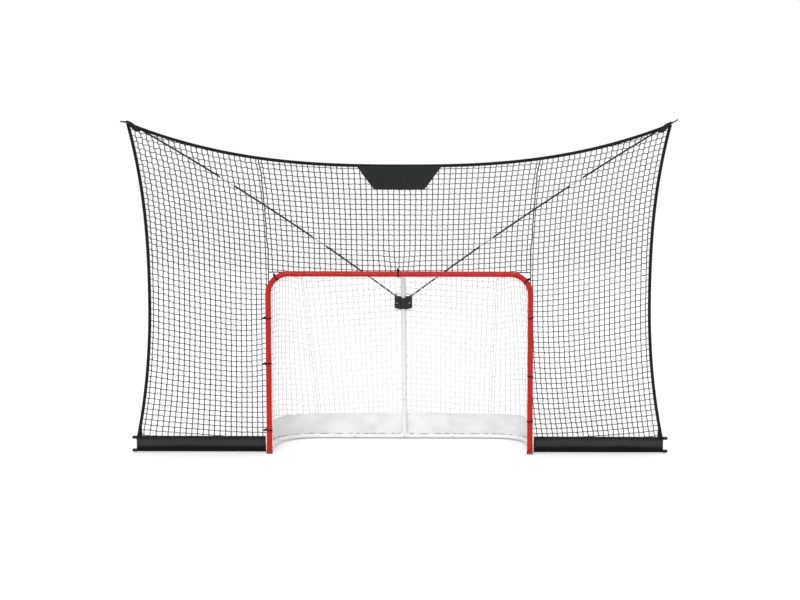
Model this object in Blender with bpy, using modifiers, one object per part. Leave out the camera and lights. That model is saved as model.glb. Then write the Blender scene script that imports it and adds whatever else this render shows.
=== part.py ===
"""Hockey goal with a bolted-on backstop net.

The frame is knocked down: red corner tubes and a red crossbar, a white base tube in three lengths and
a white centre bar in two, held together by spring snap buttons. A black hub is clamped to the centre
bar and carries two bowed rods, which spread a black net above and beside the goal.

Metres. X is to the right seen from the front, Y to the back, Z up. The origin is on the floor under
the middle of the goal's own box. Depths are measured from the middle of the posts.
"""
import bmesh
import bpy
from math import cos, pi, radians, sin, sqrt
from mathutils import Matrix, Vector

# Frame
GOAL_WIDTH = 1.829
GOAL_HEIGHT = 1.2573
GOAL_DEPTH = 0.53
POST_R = 0.01905
BASE_R = 0.0159
CORNER_BEND_R = 0.140
BASE_BEND_R = 0.260
STUB_Z = 0.040
CAP_HEIGHT = 0.021
CAP_FLOOR = 0.004
CAP_WALL = 0.0015
TUBE_WALL = 0.0014
GAP = 0.0003

# Snap joints: places along the tubes, and the lap of one tube in the other
CROSSBAR_JOINT_IN = 0.22545
BASE_JOINT_X = 0.360
STUB_JOINT_DEPTH = 0.105
BAR_JOINT_Z = 0.297
LAP = 0.050
SWAGE_TAPER = 0.002
BUTTON_R = 0.0035
BUTTON_PROUD = 0.003
BUTTON_EDGE = 0.0008
BUTTON_TRAVEL = 0.005
FLANGE_R = 0.005
FLANGE_T = 0.001
LEAF_T = 0.0008
LEAF_HALF_WIDTH = 0.003
LEAF_TIP = 0.008
LEAF_RUN = 0.014

# Centre bar, measured along its own middle line
BAR_FRONT_DEPTH = 0.0215
BAR_FRONT_DROP = 0.01225
BAR_SHOULDER_IN = 0.106
BAR_SHOULDER_DROP = 0.03625
BAR_BEND_R = 0.100
BAR_NECK_Z = 0.410
BAR_STUB_LENGTH = 0.050
BAR_BOLT_BACK = 0.026
SADDLE_HALF = 0.030
SADDLE_WALL = 0.0025
SADDLE_BOLT_RISE = 0.004
BOLT_R = 0.003
BOLT_HEAD_R = 0.0058
BOLT_HEAD_T = 0.004
BOLT_END = 0.001

# Hub
HUB_DROP = 0.21975
HUB_HALF_WIDTH = 0.0605
HUB_HALF_HEIGHT = 0.048
HUB_PLATE_T = 0.015
HUB_SPLIT = 0.001
HUB_SHOULDER_DROP = 0.009
HUB_NOTCH_DROP = 0.0185
HUB_NOTCH_HALF = 0.0185
HUB_CHIN = 0.006
HUB_BOSS_WALL = 0.007
HUB_BOLT_X = 0.045
HUB_BOLT_DROP = 0.0086
HUB_SOCKET_WALL = 0.004
HUB_SOCKET_RUN = 0.034
HUB_ROOM = 0.004

# Rods of the backstop
ROD_R = 0.006
ROD_START_X = 0.030
ROD_START_RISE = 0.0205
ROD_START_IN = 0.074
ROD_TIP_X = 1.828
ROD_TIP_DEPTH = 0.0380
ROD_SLOPE_START = 0.745
ROD_SLOPE_END = 0.610
ROD_DEPTH_START = 0.060
FERRULE_X = (0.5985, 1.221)
FERRULE_HALF = 0.055
FERRULE_WALL = 0.0012
TIP_CAP_LENGTH = 0.024
TIP_CAP_WALL = 0.0025
LOW_ROD_Z = (0.0157, 0.105)
LOW_ROD_DEPTH = 0.029
LOW_ROD_END = 1.8375
END_CAP_R = 0.0095
END_CAP_LENGTH = 0.020
END_CAP_FLOOR = 0.008

# Brackets that hold the lower rods behind the posts
BRACKET_IN = 0.0165
BRACKET_OUT = 0.03205
BRACKET_LEG_T = 0.0115
BRACKET_BACK = 0.0385
BRACKET_FRONT = 0.006
BRACKET_Z = (0.064, 0.116)
BRACKET_FOOT_Z = 0.005
BRACKET_SCREW_Z = 0.079
SCREW_R = 0.002
SCREW_HEAD_R = 0.004
SCREW_HEAD_T = 0.003
SCREW_BITE = 0.008

# Backstop fabric
NET_T = 0.003
STRAP_T = 0.0015
STRAP_WIDTH = 0.022
STRAP_SLACK = 0.0012
TAB_LENGTH = 0.018
BAND_T = 0.0016
BAND_WIDTH = 0.021
BACKSTOP_FOOT_RISE = 0.00825
TOP_MIDDLE_Z = 1.981
TOP_CORNER_X = 1.850
TOP_CORNER_Z = 2.268
TOP_CURVE = 2.6
WAIST_X = 1.720
WAIST_Z = 1.070
FOOT_X = 1.820
SIDE_CURVE = 2.4
FOOT_CURVE = 2.2
SEAM_TOP_OUT = 0.05255
SEAM_GAP = 0.001
NET_EDGE_IN = 0.004
STRAND = 0.006
BANNER_TOP_HALF = 0.282
BANNER_FOOT_HALF = 0.170
BANNER_HEIGHT = 0.150
POCKET_SIDE = 0.115
POCKET_TAIL = 0.038
POCKET_TAIL_HALF = 0.009
POCKET_T = 0.002
PANEL_IN = 0.03355
PANEL_OUT_X = 1.8130
SLEEVE_WALL = 0.0015
LEFT_STRAP_Z = (0.937, 0.621, 0.164)
RIGHT_STRAP_Z = (0.941, 0.537, 0.229)
CORNER_STRAP_ANGLES = (54.0, 40.0)
MIDDLE_STRAP_X = -0.008

# Goal net
MESH_T = 0.003
SKIRT_T = 0.002
SKIRT_TOP = 0.180
SKIRT_FOOT = 0.006
CREASE_TOP_IN = 0.23045
NET_TOP_DROP = 0.012
ROOF_RISE = 0.00835
ROOF_CORNER_DEPTH = 0.014
RIDGE_ROOM = 0.0015

SIDES = 16
FACET = cos(pi / SIDES)
POST_X = GOAL_WIDTH / 2 - POST_R
CROSSBAR_Z = GOAL_HEIGHT - POST_R
CROSSBAR_JOINT_X = POST_X - CROSSBAR_JOINT_IN
BAR_FRONT_Z = CROSSBAR_Z - BAR_FRONT_DROP
BAR_SHOULDER_DEPTH = GOAL_DEPTH - BAR_SHOULDER_IN
BAR_SHOULDER_Z = CROSSBAR_Z - BAR_SHOULDER_DROP
HUB_Z = CROSSBAR_Z - HUB_DROP
ROD_START_Z = HUB_Z + ROD_START_RISE
ROD_START_DEPTH = GOAL_DEPTH - ROD_START_IN
BRACKET_OUT_X = POST_X + BRACKET_OUT
BACKSTOP_FOOT_Z = CROSSBAR_Z + BACKSTOP_FOOT_RISE
SEAM_TOP_X = POST_X + SEAM_TOP_OUT
PANEL_IN_X = POST_X + PANEL_IN
CREASE_TOP_X = POST_X - CREASE_TOP_IN
ROOF_Z = CROSSBAR_Z + ROOF_RISE
NET_DEPTH = POST_R + STRAP_SLACK + STRAP_T + GAP + NET_T / 2
BAND_DEPTH = NET_DEPTH - NET_T / 2 - GAP - BAND_T / 2
POCKET_DEPTH = NET_DEPTH + NET_T / 2 + GAP + POCKET_T / 2
MESH_DEPTH = NET_DEPTH + NET_T / 2 + GAP + MESH_T / 2
SLEEVE_R = ROD_R + GAP + SLEEVE_WALL
NET_FOOT_Z = BRACKET_Z[1] + GAP * 2


def bore_inside(tube_radius):
    """Bore of a tube that leaves it its wall at the middle of each facet."""
    return tube_radius * FACET - TUBE_WALL


def tube_for_bore(bore_radius):
    """Tube that slides in a bore with the clearance."""
    return bore_radius * FACET - GAP


def bore_for_tube(tube_radius):
    """Bore that takes a tube with the clearance."""
    return (tube_radius + GAP) / FACET


def tube_round_bore(bore_radius):
    """Tube that leaves its wall round a bore."""
    return (bore_radius + TUBE_WALL) / FACET


CROSSBAR_SWAGE_R = tube_for_bore(bore_inside(POST_R))
BASE_SWAGE_R = tube_for_bore(bore_inside(BASE_R))
STUB_R = tube_round_bore(bore_for_tube(BASE_R))
SADDLE_BORE_R = bore_for_tube(BASE_R)
SADDLE_R = SADDLE_BORE_R + SADDLE_WALL
FRONT_REACH = POST_R + BUTTON_PROUD
BACK_REACH = GOAL_DEPTH + SADDLE_R + GAP + BOLT_HEAD_T + BOLT_END
FRONT_Y = (FRONT_REACH - BACK_REACH) / 2


def place(x, depth, z):
    """Point from its offset, its depth behind the middle of the posts and its height."""
    return Vector((x, FRONT_Y + depth, z))


BAR_FOOT = place(0, GOAL_DEPTH, BASE_R)
BAR_SHOULDER = place(0, BAR_SHOULDER_DEPTH, BAR_SHOULDER_Z)
BAR_UP = (BAR_SHOULDER - BAR_FOOT).normalized()
BAR_FACING = Vector((0, -BAR_UP.z, BAR_UP.y))


def bar_at(z):
    """Point on the middle line of the centre bar's long leg."""
    return BAR_FOOT + BAR_UP * ((z - BAR_FOOT.z) / BAR_UP.z)


# Scene and materials

def start_scene():
    """Removes what the scene holds and makes the collections."""
    for item in list(bpy.data.objects):
        bpy.data.objects.remove(item)
    made = []
    for name in ("hockey_goal", "cutters"):
        collection = bpy.data.collections.new(name)
        bpy.context.scene.collection.children.link(collection)
        made.append(collection)
    return made


PARTS, CUTTERS = start_scene()


def material(name, colour, roughness, metallic=0.0):
    """Principled material with a plain colour."""
    made = bpy.data.materials.new(name)
    made.use_nodes = True
    shader = made.node_tree.nodes["Principled BSDF"]
    shader.inputs["Base Color"].default_value = (*colour, 1.0)
    shader.inputs["Roughness"].default_value = roughness
    shader.inputs["Metallic"].default_value = metallic
    return made


RED_PAINT = material("red_paint", (0.56, 0.035, 0.028), 0.35)
WHITE_PAINT = material("white_paint", (0.84, 0.84, 0.84), 0.4)
ZINC = material("zinc_steel", (0.62, 0.62, 0.60), 0.35, 1.0)
CAP_RED = material("cap_rubber", (0.33, 0.04, 0.04), 0.7)
HUB_BLACK = material("hub_plastic", (0.02, 0.02, 0.02), 0.45)
ROD_BLACK = material("rod_fibreglass", (0.03, 0.03, 0.03), 0.4)
NET_BLACK = material("black_cord", (0.03, 0.03, 0.032), 0.9)
WEB_BLACK = material("black_webbing", (0.025, 0.025, 0.027), 0.85)
PANEL_BLACK = material("black_cloth", (0.03, 0.03, 0.033), 0.9)
NET_WHITE = material("white_cord", (0.86, 0.86, 0.86), 0.9)
CLOTH_WHITE = material("white_cloth", (0.78, 0.78, 0.79), 0.9)


# Building blocks

def add_part(name, mesh, finish=None, cutter=False):
    """Object for a mesh, in the parts or among the cutters."""
    item = bpy.data.objects.new(name, mesh)
    (CUTTERS if cutter else PARTS).objects.link(item)
    if cutter:
        item.hide_render = True
        item.display_type = "WIRE"
    if finish is not None:
        mesh.materials.clear()
        mesh.materials.append(finish)
    return item


def smooth(item, angle=35.0):
    """Smooth shading up to the given edge angle."""
    item.data.shade_smooth()
    item.data.set_sharp_from_angle(angle=radians(angle))
    return item


def evaluated(item):
    """Mesh of an object with its modifiers applied, in world space."""
    bpy.context.view_layer.update()
    graph = bpy.context.evaluated_depsgraph_get()
    mesh = bpy.data.meshes.new_from_object(item.evaluated_get(graph))
    mesh.transform(item.matrix_world)
    return mesh


def weld(mesh):
    """Merges points that lie on each other, such as a curve's caps."""
    work = bmesh.new()
    work.from_mesh(mesh)
    bmesh.ops.remove_doubles(work, verts=work.verts, dist=0.00001)
    work.to_mesh(mesh)
    work.free()


def tube(name, points, radius, finish=None, sides=SIDES, cutter=False):
    """Round bar along points, with flat ends."""
    curve = bpy.data.curves.new(name, "CURVE")
    curve.dimensions = "3D"
    curve.bevel_depth = radius
    curve.bevel_resolution = (sides - 4) // 2
    curve.use_fill_caps = True
    spline = curve.splines.new("POLY")
    spline.points.add(len(points) - 1)
    for spot, point in zip(spline.points, points):
        spot.co = (*point, 1.0)
    drawn = bpy.data.objects.new(name, curve)
    PARTS.objects.link(drawn)
    mesh = evaluated(drawn)
    bpy.data.objects.remove(drawn)
    weld(mesh)
    mesh.name = name
    return smooth(add_part(name, mesh, finish, cutter))


def turned(name, profile, base, up, finish=None, steps=SIDES, cutter=False, closed=False):
    """Solid of revolution: profile of (radius, height) down its outer side, on an axis from base."""
    mesh = bpy.data.meshes.new(name)
    work = bmesh.new()
    points = [work.verts.new((radius, 0, height)) for radius, height in profile]
    for first, second in zip(points, points[1:]):
        work.edges.new((first, second))
    if closed:
        work.edges.new((points[-1], points[0]))
    work.to_mesh(mesh)
    work.free()
    item = add_part(name, mesh, finish, cutter)
    item.location = base
    item.rotation_euler = Vector(up).to_track_quat("Z", "Y").to_euler()
    screw = item.modifiers.new("turn", "SCREW")
    screw.steps = steps
    screw.render_steps = steps
    screw.use_merge_vertices = True
    screw.merge_threshold = 0.00001
    return item


def box(name, low, high, finish=None, cutter=False):
    """Block between two corners."""
    mesh = bpy.data.meshes.new(name)
    work = bmesh.new()
    bmesh.ops.create_cube(work, size=1.0)
    for vert in work.verts:
        vert.co = Vector([low[k] + (high[k] - low[k]) * (vert.co[k] + 0.5) for k in range(3)])
    work.to_mesh(mesh)
    work.free()
    return add_part(name, mesh, finish, cutter)


def plate(name, outline, depth, thickness, finish=None, cutter=False):
    """Flat piece from an outline of (x, z), standing at a depth."""
    curve = bpy.data.curves.new(name, "CURVE")
    curve.dimensions = "2D"
    curve.fill_mode = "BOTH"
    curve.extrude = thickness / 2
    spline = curve.splines.new("POLY")
    spline.points.add(len(outline) - 1)
    for spot, (x, z) in zip(spline.points, outline):
        spot.co = (x, z, 0.0, 1.0)
    spline.use_cyclic_u = True
    drawn = bpy.data.objects.new(name, curve)
    PARTS.objects.link(drawn)
    drawn.rotation_euler = (radians(90), 0, 0)
    drawn.location = (0, FRONT_Y + depth, 0)
    mesh = evaluated(drawn)
    bpy.data.objects.remove(drawn)
    weld(mesh)
    return add_part(name, mesh, finish, cutter)


def combine(item, tool, operation):
    """Boolean step with a tool, then a weld of the points it leaves on each other."""
    step = item.modifiers.new(operation.lower(), "BOOLEAN")
    step.operation = operation
    step.solver = "EXACT"
    step.object = tool
    clean = item.modifiers.new("weld", "WELD")
    clean.merge_threshold = 0.000002


def cut(item, tool):
    """Takes a tool's shape out of a piece."""
    combine(item, tool, "DIFFERENCE")


def fuse(item, tool):
    """Joins a tool's shape to a piece."""
    combine(item, tool, "UNION")


def fabric(name, surface, columns, rows, thickness, finish, strand=None):
    """Thin solid on a surface of (u, v), or an open mesh of strands on it."""
    mesh = bpy.data.meshes.new(name)
    work = bmesh.new()
    bmesh.ops.create_grid(work, x_segments=columns, y_segments=rows, size=0.5)
    for vert in work.verts:
        vert.co = surface(vert.co.x + 0.5, vert.co.y + 0.5)
    work.normal_update()
    if strand is not None:
        gaps = list(work.faces)
        bmesh.ops.inset_individual(work, faces=gaps, thickness=strand / 2, use_even_offset=True)
        bmesh.ops.delete(work, geom=gaps, context="FACES")
    work.to_mesh(mesh)
    work.free()
    item = add_part(name, mesh, finish)
    wall = item.modifiers.new("thickness", "SOLIDIFY")
    wall.thickness = thickness
    wall.offset = 0.0
    return item


def fillet(before, corner, after, radius, steps=8):
    """Points of the round bend between two straight runs."""
    into = (corner - before).normalized()
    away = (after - corner).normalized()
    turn = into.angle(away)
    normal = into.cross(away).normalized()
    start = corner - into * radius * sin(turn / 2) / cos(turn / 2)
    centre = start + normal.cross(into) * radius
    arm = start - centre
    return [centre + Matrix.Rotation(turn * k / steps, 3, normal) @ arm for k in range(steps + 1)]


def mix(first, second, share):
    """Value between two others."""
    return first + (second - first) * share


def side_name(side):
    """Word for a side, -1 or 1."""
    return "left" if side < 0 else "right"


# Snap joints

class SnapJoint:
    """Lap of an inner tube in an outer one, with a sprung button through both."""

    def __init__(self, name, spot, along, facing, outer_radius, inner_radius, reach=LAP / 2):
        self.name = name
        self.spot = spot
        self.along = Vector(along).normalized()
        self.facing = Vector(facing).normalized()
        self.outer_radius = outer_radius
        self.inner_radius = inner_radius
        self.bore = bore_inside(inner_radius)
        self.mouth = spot + self.along * reach
        self.inner_end = spot - self.along * LAP / 2
        flat = self.bore * FACET
        self.flange_top = sqrt(flat ** 2 - FLANGE_R ** 2) - GAP
        self.leaf_foot = sqrt(flat ** 2 - LEAF_HALF_WIDTH ** 2) - GAP

    def hole(self):
        """Cutter for the button's hole in both tubes."""
        outside = self.outer_radius * 1.5
        profile = [(0, outside), (BUTTON_R + GAP, outside), (BUTTON_R + GAP, 0), (0, 0)]
        return turned(self.name + "_hole", profile, self.spot, self.facing, steps=8, cutter=True)

    def socket(self):
        """Cutter for the socket of a stub that takes the inner tube."""
        start = self.inner_end - self.along * LAP
        end = self.mouth + self.along * LAP
        return tube(self.name + "_socket", [start, end], bore_for_tube(self.inner_radius), cutter=True)

    def button(self):
        """Button with its flange, riveted to a leaf spring."""
        top = self.outer_radius + BUTTON_PROUD
        foot = self.flange_top - FLANGE_T
        profile = [(0, top), (BUTTON_R - BUTTON_EDGE, top), (BUTTON_R, top - BUTTON_EDGE),
                   (BUTTON_R, self.flange_top), (FLANGE_R, self.flange_top), (FLANGE_R, foot), (0, foot)]
        item = turned(self.name, profile, self.spot, self.facing, ZINC, steps=8)
        fuse(item, self.leaf())
        return item

    def leaf(self):
        """Bent leaf spring in the inner tube's bore, drawn with room for the button's travel."""
        high = self.flange_top - FLANGE_T - LEAF_T / 2 + GAP
        low = -self.leaf_foot + LEAF_T / 2 + BUTTON_TRAVEL
        radius = (high - low) / 2
        path = [(-LEAF_TIP, high)]
        for k in range(7):
            angle = pi / 2 - pi * k / 6
            path.append((LEAF_RUN + radius * cos(angle), (high + low) / 2 + radius * sin(angle)))
        path.append((-LEAF_TIP, low))
        across = self.facing.cross(self.along)
        mesh = bpy.data.meshes.new(self.name + "_leaf")
        work = bmesh.new()
        edge_points = []
        for run, rise in path:
            edge_points.append(work.verts.new(self.spot + self.along * run + self.facing * rise
                                              - across * LEAF_HALF_WIDTH))
        edges = [work.edges.new(pair) for pair in zip(edge_points, edge_points[1:])]
        drawn = bmesh.ops.extrude_edge_only(work, edges=edges)
        moved = [item for item in drawn["geom"] if isinstance(item, bmesh.types.BMVert)]
        bmesh.ops.translate(work, verts=moved, vec=across * LEAF_HALF_WIDTH * 2)
        work.to_mesh(mesh)
        work.free()
        item = add_part(self.name + "_leaf", mesh, cutter=True)
        wall = item.modifiers.new("thickness", "SOLIDIFY")
        wall.thickness = LEAF_T
        wall.offset = 0.0
        return item


FRONT = Vector((0, -1, 0))
BACK = Vector((0, 1, 0))
RIGHT = Vector((1, 0, 0))
UP = Vector((0, 0, 1))


def frame_joints():
    """All snap joints of the frame, by name."""
    button_spot = bar_at(BAR_JOINT_Z)
    reach = (bar_at(BAR_NECK_Z) - button_spot).length
    joints = [SnapJoint("bar_button", button_spot, BAR_UP, BAR_FACING, BASE_R, BASE_SWAGE_R, reach)]
    for side in (-1, 1):
        word = side_name(side)
        joints.append(SnapJoint("crossbar_button_" + word, place(side * CROSSBAR_JOINT_X, 0, CROSSBAR_Z),
                                -RIGHT * side, FRONT, POST_R, CROSSBAR_SWAGE_R))
        joints.append(SnapJoint("base_rear_button_" + word, place(side * BASE_JOINT_X, GOAL_DEPTH, BASE_R),
                                -RIGHT * side, FRONT, BASE_R, BASE_SWAGE_R))
        joints.append(SnapJoint("base_side_button_" + word, place(side * POST_X, STUB_JOINT_DEPTH, STUB_Z),
                                BACK, -RIGHT * side, STUB_R, BASE_R))
    return {joint.name: joint for joint in joints}


JOINTS = frame_joints()


# Frame

def corner_bend(side, steps=8):
    """Points of the round bend from post to crossbar."""
    return fillet(place(side * POST_X, 0, 0), place(side * POST_X, 0, CROSSBAR_Z), place(0, 0, CROSSBAR_Z),
                  CORNER_BEND_R, steps)


def screw_path(side):
    """Start and end of the bracket's screw hole in a post."""
    spot = place(side * POST_X, 0, BRACKET_SCREW_Z)
    return [spot + BACK * (POST_R - SCREW_BITE), spot + BACK * BRACKET_BACK * 2]


def corner_tube(side):
    """Red post, its bend, the short run of crossbar and the stub for the base tube."""
    word = side_name(side)
    lap = JOINTS["crossbar_button_" + word]
    stub_joint = JOINTS["base_side_button_" + word]
    start = place(side * POST_X, 0, CAP_FLOOR + GAP)
    item = tube("corner_tube_" + word, [start, *corner_bend(side), lap.mouth], POST_R, RED_PAINT)
    stub = tube("stub_" + word, [place(side * POST_X, 0, STUB_Z), stub_joint.mouth], STUB_R, cutter=True)
    fuse(item, stub)
    bore = tube("post_bore_" + word, [start - UP * 0.02, *corner_bend(side), lap.mouth - RIGHT * side * 0.02],
                bore_inside(POST_R), cutter=True)
    for tool in (bore, lap.hole(), stub_joint.socket(), stub_joint.hole()):
        cut(item, tool)
    cut(item, tube("screw_hole_" + word, screw_path(side), SCREW_R + GAP, sides=8, cutter=True))
    return item


def foot_cap(side):
    """Cup on a post's foot, flat underneath."""
    inner = bore_for_tube(POST_R)
    outer = inner + CAP_WALL
    profile = [(0, CAP_FLOOR), (inner, CAP_FLOOR), (inner, CAP_HEIGHT), (outer, CAP_HEIGHT)]
    profile += [(outer, BUTTON_EDGE), (outer - BUTTON_EDGE, 0), (0, 0)]
    return turned("foot_cap_" + side_name(side), profile, place(side * POST_X, 0, 0), UP, CAP_RED)


def swaged_profile(half, shoulder, radius, swage):
    """Closed profile of a tube whose two ends are reduced, outside and inside."""
    wide = bore_inside(radius)
    narrow = bore_inside(swage)
    upper = [(wide, shoulder - SWAGE_TAPER * 3), (narrow, shoulder - SWAGE_TAPER), (narrow, half)]
    upper += [(swage, half), (swage, shoulder), (radius, shoulder - SWAGE_TAPER)]
    return upper + [(r, -z) for r, z in reversed(upper)]


def crossbar_tube():
    """Middle of the crossbar with its reduced ends and the stub for the centre bar."""
    lap = JOINTS["crossbar_button_right"]
    profile = swaged_profile(lap.inner_end.x, lap.mouth.x - GAP, POST_R, CROSSBAR_SWAGE_R)
    item = turned("crossbar_tube", profile, place(0, 0, CROSSBAR_Z), RIGHT, RED_PAINT, closed=True)
    start = place(0, BAR_FRONT_DEPTH, BAR_FRONT_Z)
    run = (BAR_SHOULDER - start).normalized()
    ends = [start - run * BAR_FRONT_DEPTH * 0.55, start + run * BAR_STUB_LENGTH]
    fuse(item, tube("bar_stub", ends, BASE_R, cutter=True))
    inside = [place(-0.1, 0, CROSSBAR_Z), place(0.1, 0, CROSSBAR_Z)]
    cut(item, tube("crossbar_bore", inside, bore_inside(POST_R), cutter=True))
    for side in (-1, 1):
        cut(item, JOINTS["crossbar_button_" + side_name(side)].hole())
    cut(item, bar_bolt_hole())
    return item


def bar_bolt_axis():
    """Middle of the level bolt through the bar's front end, and its direction."""
    start = place(0, BAR_FRONT_DEPTH, BAR_FRONT_Z)
    run = (BAR_SHOULDER - start).normalized()
    return start + run * BAR_BOLT_BACK, RIGHT


def bar_bolt_hole():
    """Cutter for the bolt at the bar's front end."""
    spot, up = bar_bolt_axis()
    ends = [spot - up * 0.04, spot + up * 0.04]
    return tube("bar_bolt_hole", ends, (BOLT_R + GAP) / FACET, cutter=True, sides=12)


def saddle_bolt_hole():
    """Cutter for the bolt through saddle and base tube."""
    spot = place(0, GOAL_DEPTH, BASE_R + SADDLE_BOLT_RISE)
    ends = [spot + FRONT * 0.04, spot + BACK * 0.04]
    return tube("saddle_bolt_hole", ends, (BOLT_R + GAP) / FACET, cutter=True, sides=12)


def base_route(side, outward=0.0, steps=10, start_depth=None):
    """Line of the base tube from the stub to the end of its bend, or a line beside it."""
    first = JOINTS["base_side_button_" + side_name(side)].inner_end
    begin = place(side * (POST_X + outward), 0, 0)
    begin.y = first.y if start_depth is None else FRONT_Y + start_depth
    corner = place(side * (POST_X + outward), GOAL_DEPTH + outward, 0)
    bend = fillet(begin, corner, place(0, GOAL_DEPTH + outward, 0), BASE_BEND_R + outward, steps)
    return [begin, *bend]


def base_height(point):
    """Height of the base tube's middle line, level in the stub and on the floor at the back."""
    start = FRONT_Y + STUB_JOINT_DEPTH + LAP
    share = min(max((point.y - start) / (FRONT_Y + GOAL_DEPTH - start), 0.0), 1.0)
    return mix(STUB_Z, BASE_R, share)


def base_tube_side(side):
    """White tube from the stub round the corner to the rear joint."""
    word = side_name(side)
    front = JOINTS["base_side_button_" + word]
    rear = JOINTS["base_rear_button_" + word]
    route = base_route(side)
    route.insert(1, route[0] + BACK * LAP * 1.5)
    for point in route:
        point.z = base_height(point)
    route.append(rear.mouth)
    item = tube("base_tube_" + word, route, BASE_R, WHITE_PAINT)
    inside = [route[0] + FRONT * 0.02, *route[1:-1], route[-1] - RIGHT * side * 0.02]
    bore = tube("base_bore_" + word, inside, bore_inside(BASE_R), cutter=True)
    for tool in (bore, front.hole(), rear.hole()):
        cut(item, tool)
    return item


def base_tube_rear():
    """Middle of the base tube at the back."""
    lap = JOINTS["base_rear_button_right"]
    profile = swaged_profile(lap.inner_end.x, lap.mouth.x - GAP, BASE_R, BASE_SWAGE_R)
    item = turned("base_tube_rear", profile, place(0, GOAL_DEPTH, BASE_R), RIGHT, WHITE_PAINT, closed=True)
    for side in (-1, 1):
        cut(item, JOINTS["base_rear_button_" + side_name(side)].hole())
    cut(item, saddle_bolt_hole())
    return item


def centre_bar_upper():
    """Bent upper bar, from the crossbar back over the net and down into the lower bar."""
    lap = JOINTS["bar_button"]
    start = place(0, BAR_FRONT_DEPTH, BAR_FRONT_Z)
    bend = fillet(start, BAR_SHOULDER, BAR_FOOT, BAR_BEND_R)
    shoulder = lap.mouth + BAR_UP * GAP
    item = tube("centre_bar_upper", [start, *bend, shoulder], POST_R, WHITE_PAINT)
    fuse(item, tube("bar_neck", [shoulder + BAR_UP * LAP, lap.inner_end], BASE_SWAGE_R, cutter=True))
    run = (BAR_SHOULDER - start).normalized()
    wide = tube("bar_bore", [start - run * 0.02, *bend, shoulder + BAR_UP * TUBE_WALL], bore_for_tube(BASE_R),
                cutter=True)
    ends = [shoulder + BAR_UP * LAP, lap.inner_end - BAR_UP * LAP]
    narrow = tube("neck_bore", ends, bore_inside(BASE_SWAGE_R), cutter=True)
    for tool in (wide, narrow, bar_bolt_hole(), lap.hole()):
        cut(item, tool)
    return item


def centre_bar_lower():
    """Lower bar with the saddle that sits on the base tube."""
    lap = JOINTS["bar_button"]
    item = tube("centre_bar_lower", [BAR_FOOT, lap.mouth], BASE_R, WHITE_PAINT)
    ends = [place(-SADDLE_HALF, GOAL_DEPTH, BASE_R), place(SADDLE_HALF, GOAL_DEPTH, BASE_R)]
    fuse(item, tube("saddle", ends, SADDLE_R, cutter=True))
    wide = [place(-0.1, GOAL_DEPTH, BASE_R), place(0.1, GOAL_DEPTH, BASE_R)]
    cut(item, tube("saddle_bore", wide, SADDLE_BORE_R, cutter=True))
    cut(item, box("saddle_underside", place(-0.1, GOAL_DEPTH - 0.05, -0.05),
                  place(0.1, GOAL_DEPTH + 0.05, BASE_R - SADDLE_WALL), cutter=True))
    inside = tube("lower_bar_bore", [BAR_FOOT, lap.mouth + BAR_UP * LAP], bore_inside(BASE_R), cutter=True)
    for tool in (inside, lap.hole(), saddle_bolt_hole()):
        cut(item, tool)
    return item


def bolt(name, spot, up, grip):
    """Bolt with its nut run down on a grip, as one piece; six-sided throughout."""
    top = grip + GAP
    profile = [(0, top + BOLT_HEAD_T), (BOLT_HEAD_R, top + BOLT_HEAD_T), (BOLT_HEAD_R, top), (BOLT_R, top),
               (BOLT_R, -top), (BOLT_HEAD_R, -top), (BOLT_HEAD_R, -top - BOLT_HEAD_T),
               (BOLT_R, -top - BOLT_HEAD_T), (BOLT_R, -top - BOLT_HEAD_T - BOLT_END),
               (0, -top - BOLT_HEAD_T - BOLT_END)]
    return turned(name, profile, spot, up, ZINC, steps=6)


def bracket_screw(side):
    """Screw that holds a rod bracket to its post."""
    start, _ = screw_path(side)
    foot = SCREW_BITE - POST_R - GAP
    spot = start + FRONT * foot
    head = BRACKET_BACK - (spot.y - FRONT_Y) + GAP
    profile = [(0, head + SCREW_HEAD_T), (SCREW_HEAD_R, head + SCREW_HEAD_T), (SCREW_HEAD_R, head),
               (SCREW_R, head), (SCREW_R, POST_R - SCREW_BITE + GAP - (spot.y - FRONT_Y)),
               (0, POST_R - SCREW_BITE + GAP - (spot.y - FRONT_Y))]
    return turned("bracket_screw_" + side_name(side), profile, spot, BACK, ZINC, steps=8)


def bar_bolts():
    """Bolts at both ends of the centre bar."""
    spot, up = bar_bolt_axis()
    bolt("top_bolt", spot, up, POST_R)
    bolt("saddle_bolt", place(0, GOAL_DEPTH, BASE_R + SADDLE_BOLT_RISE), FRONT, SADDLE_R)


# Hub and upper rods

HUB_CENTRE = bar_at(HUB_Z)


def hub_frame():
    """Turns and moves a shape from the hub's own frame, where Y runs back through the bar."""
    turn = Matrix((RIGHT, -BAR_FACING, BAR_UP)).transposed().to_4x4()
    return Matrix.Translation(HUB_CENTRE) @ turn


def hub_outline():
    """Front outline of the hub: two shoulders, a notch between them and a round chin."""
    shoulder = HUB_HALF_HEIGHT - HUB_SHOULDER_DROP
    half = [(HUB_NOTCH_HALF * 0.6, HUB_HALF_HEIGHT - HUB_NOTCH_DROP), (HUB_NOTCH_HALF, shoulder),
            (HUB_HALF_WIDTH * 0.7, shoulder), (HUB_HALF_WIDTH - BUTTON_EDGE, HUB_HALF_HEIGHT),
            (HUB_HALF_WIDTH, HUB_HALF_HEIGHT - BUTTON_EDGE), (HUB_HALF_WIDTH, HUB_ROOM - HUB_HALF_HEIGHT),
            (HUB_HALF_WIDTH - HUB_ROOM, -HUB_HALF_HEIGHT)]
    for angle in (15, 40, 65):
        turn = radians(angle)
        half.append((HUB_HALF_WIDTH * 0.7 * cos(turn), -HUB_HALF_HEIGHT - HUB_CHIN * sin(turn)))
    return half + [(0, -HUB_HALF_HEIGHT - HUB_CHIN)] + [(-x, z) for x, z in reversed(half)]


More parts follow.
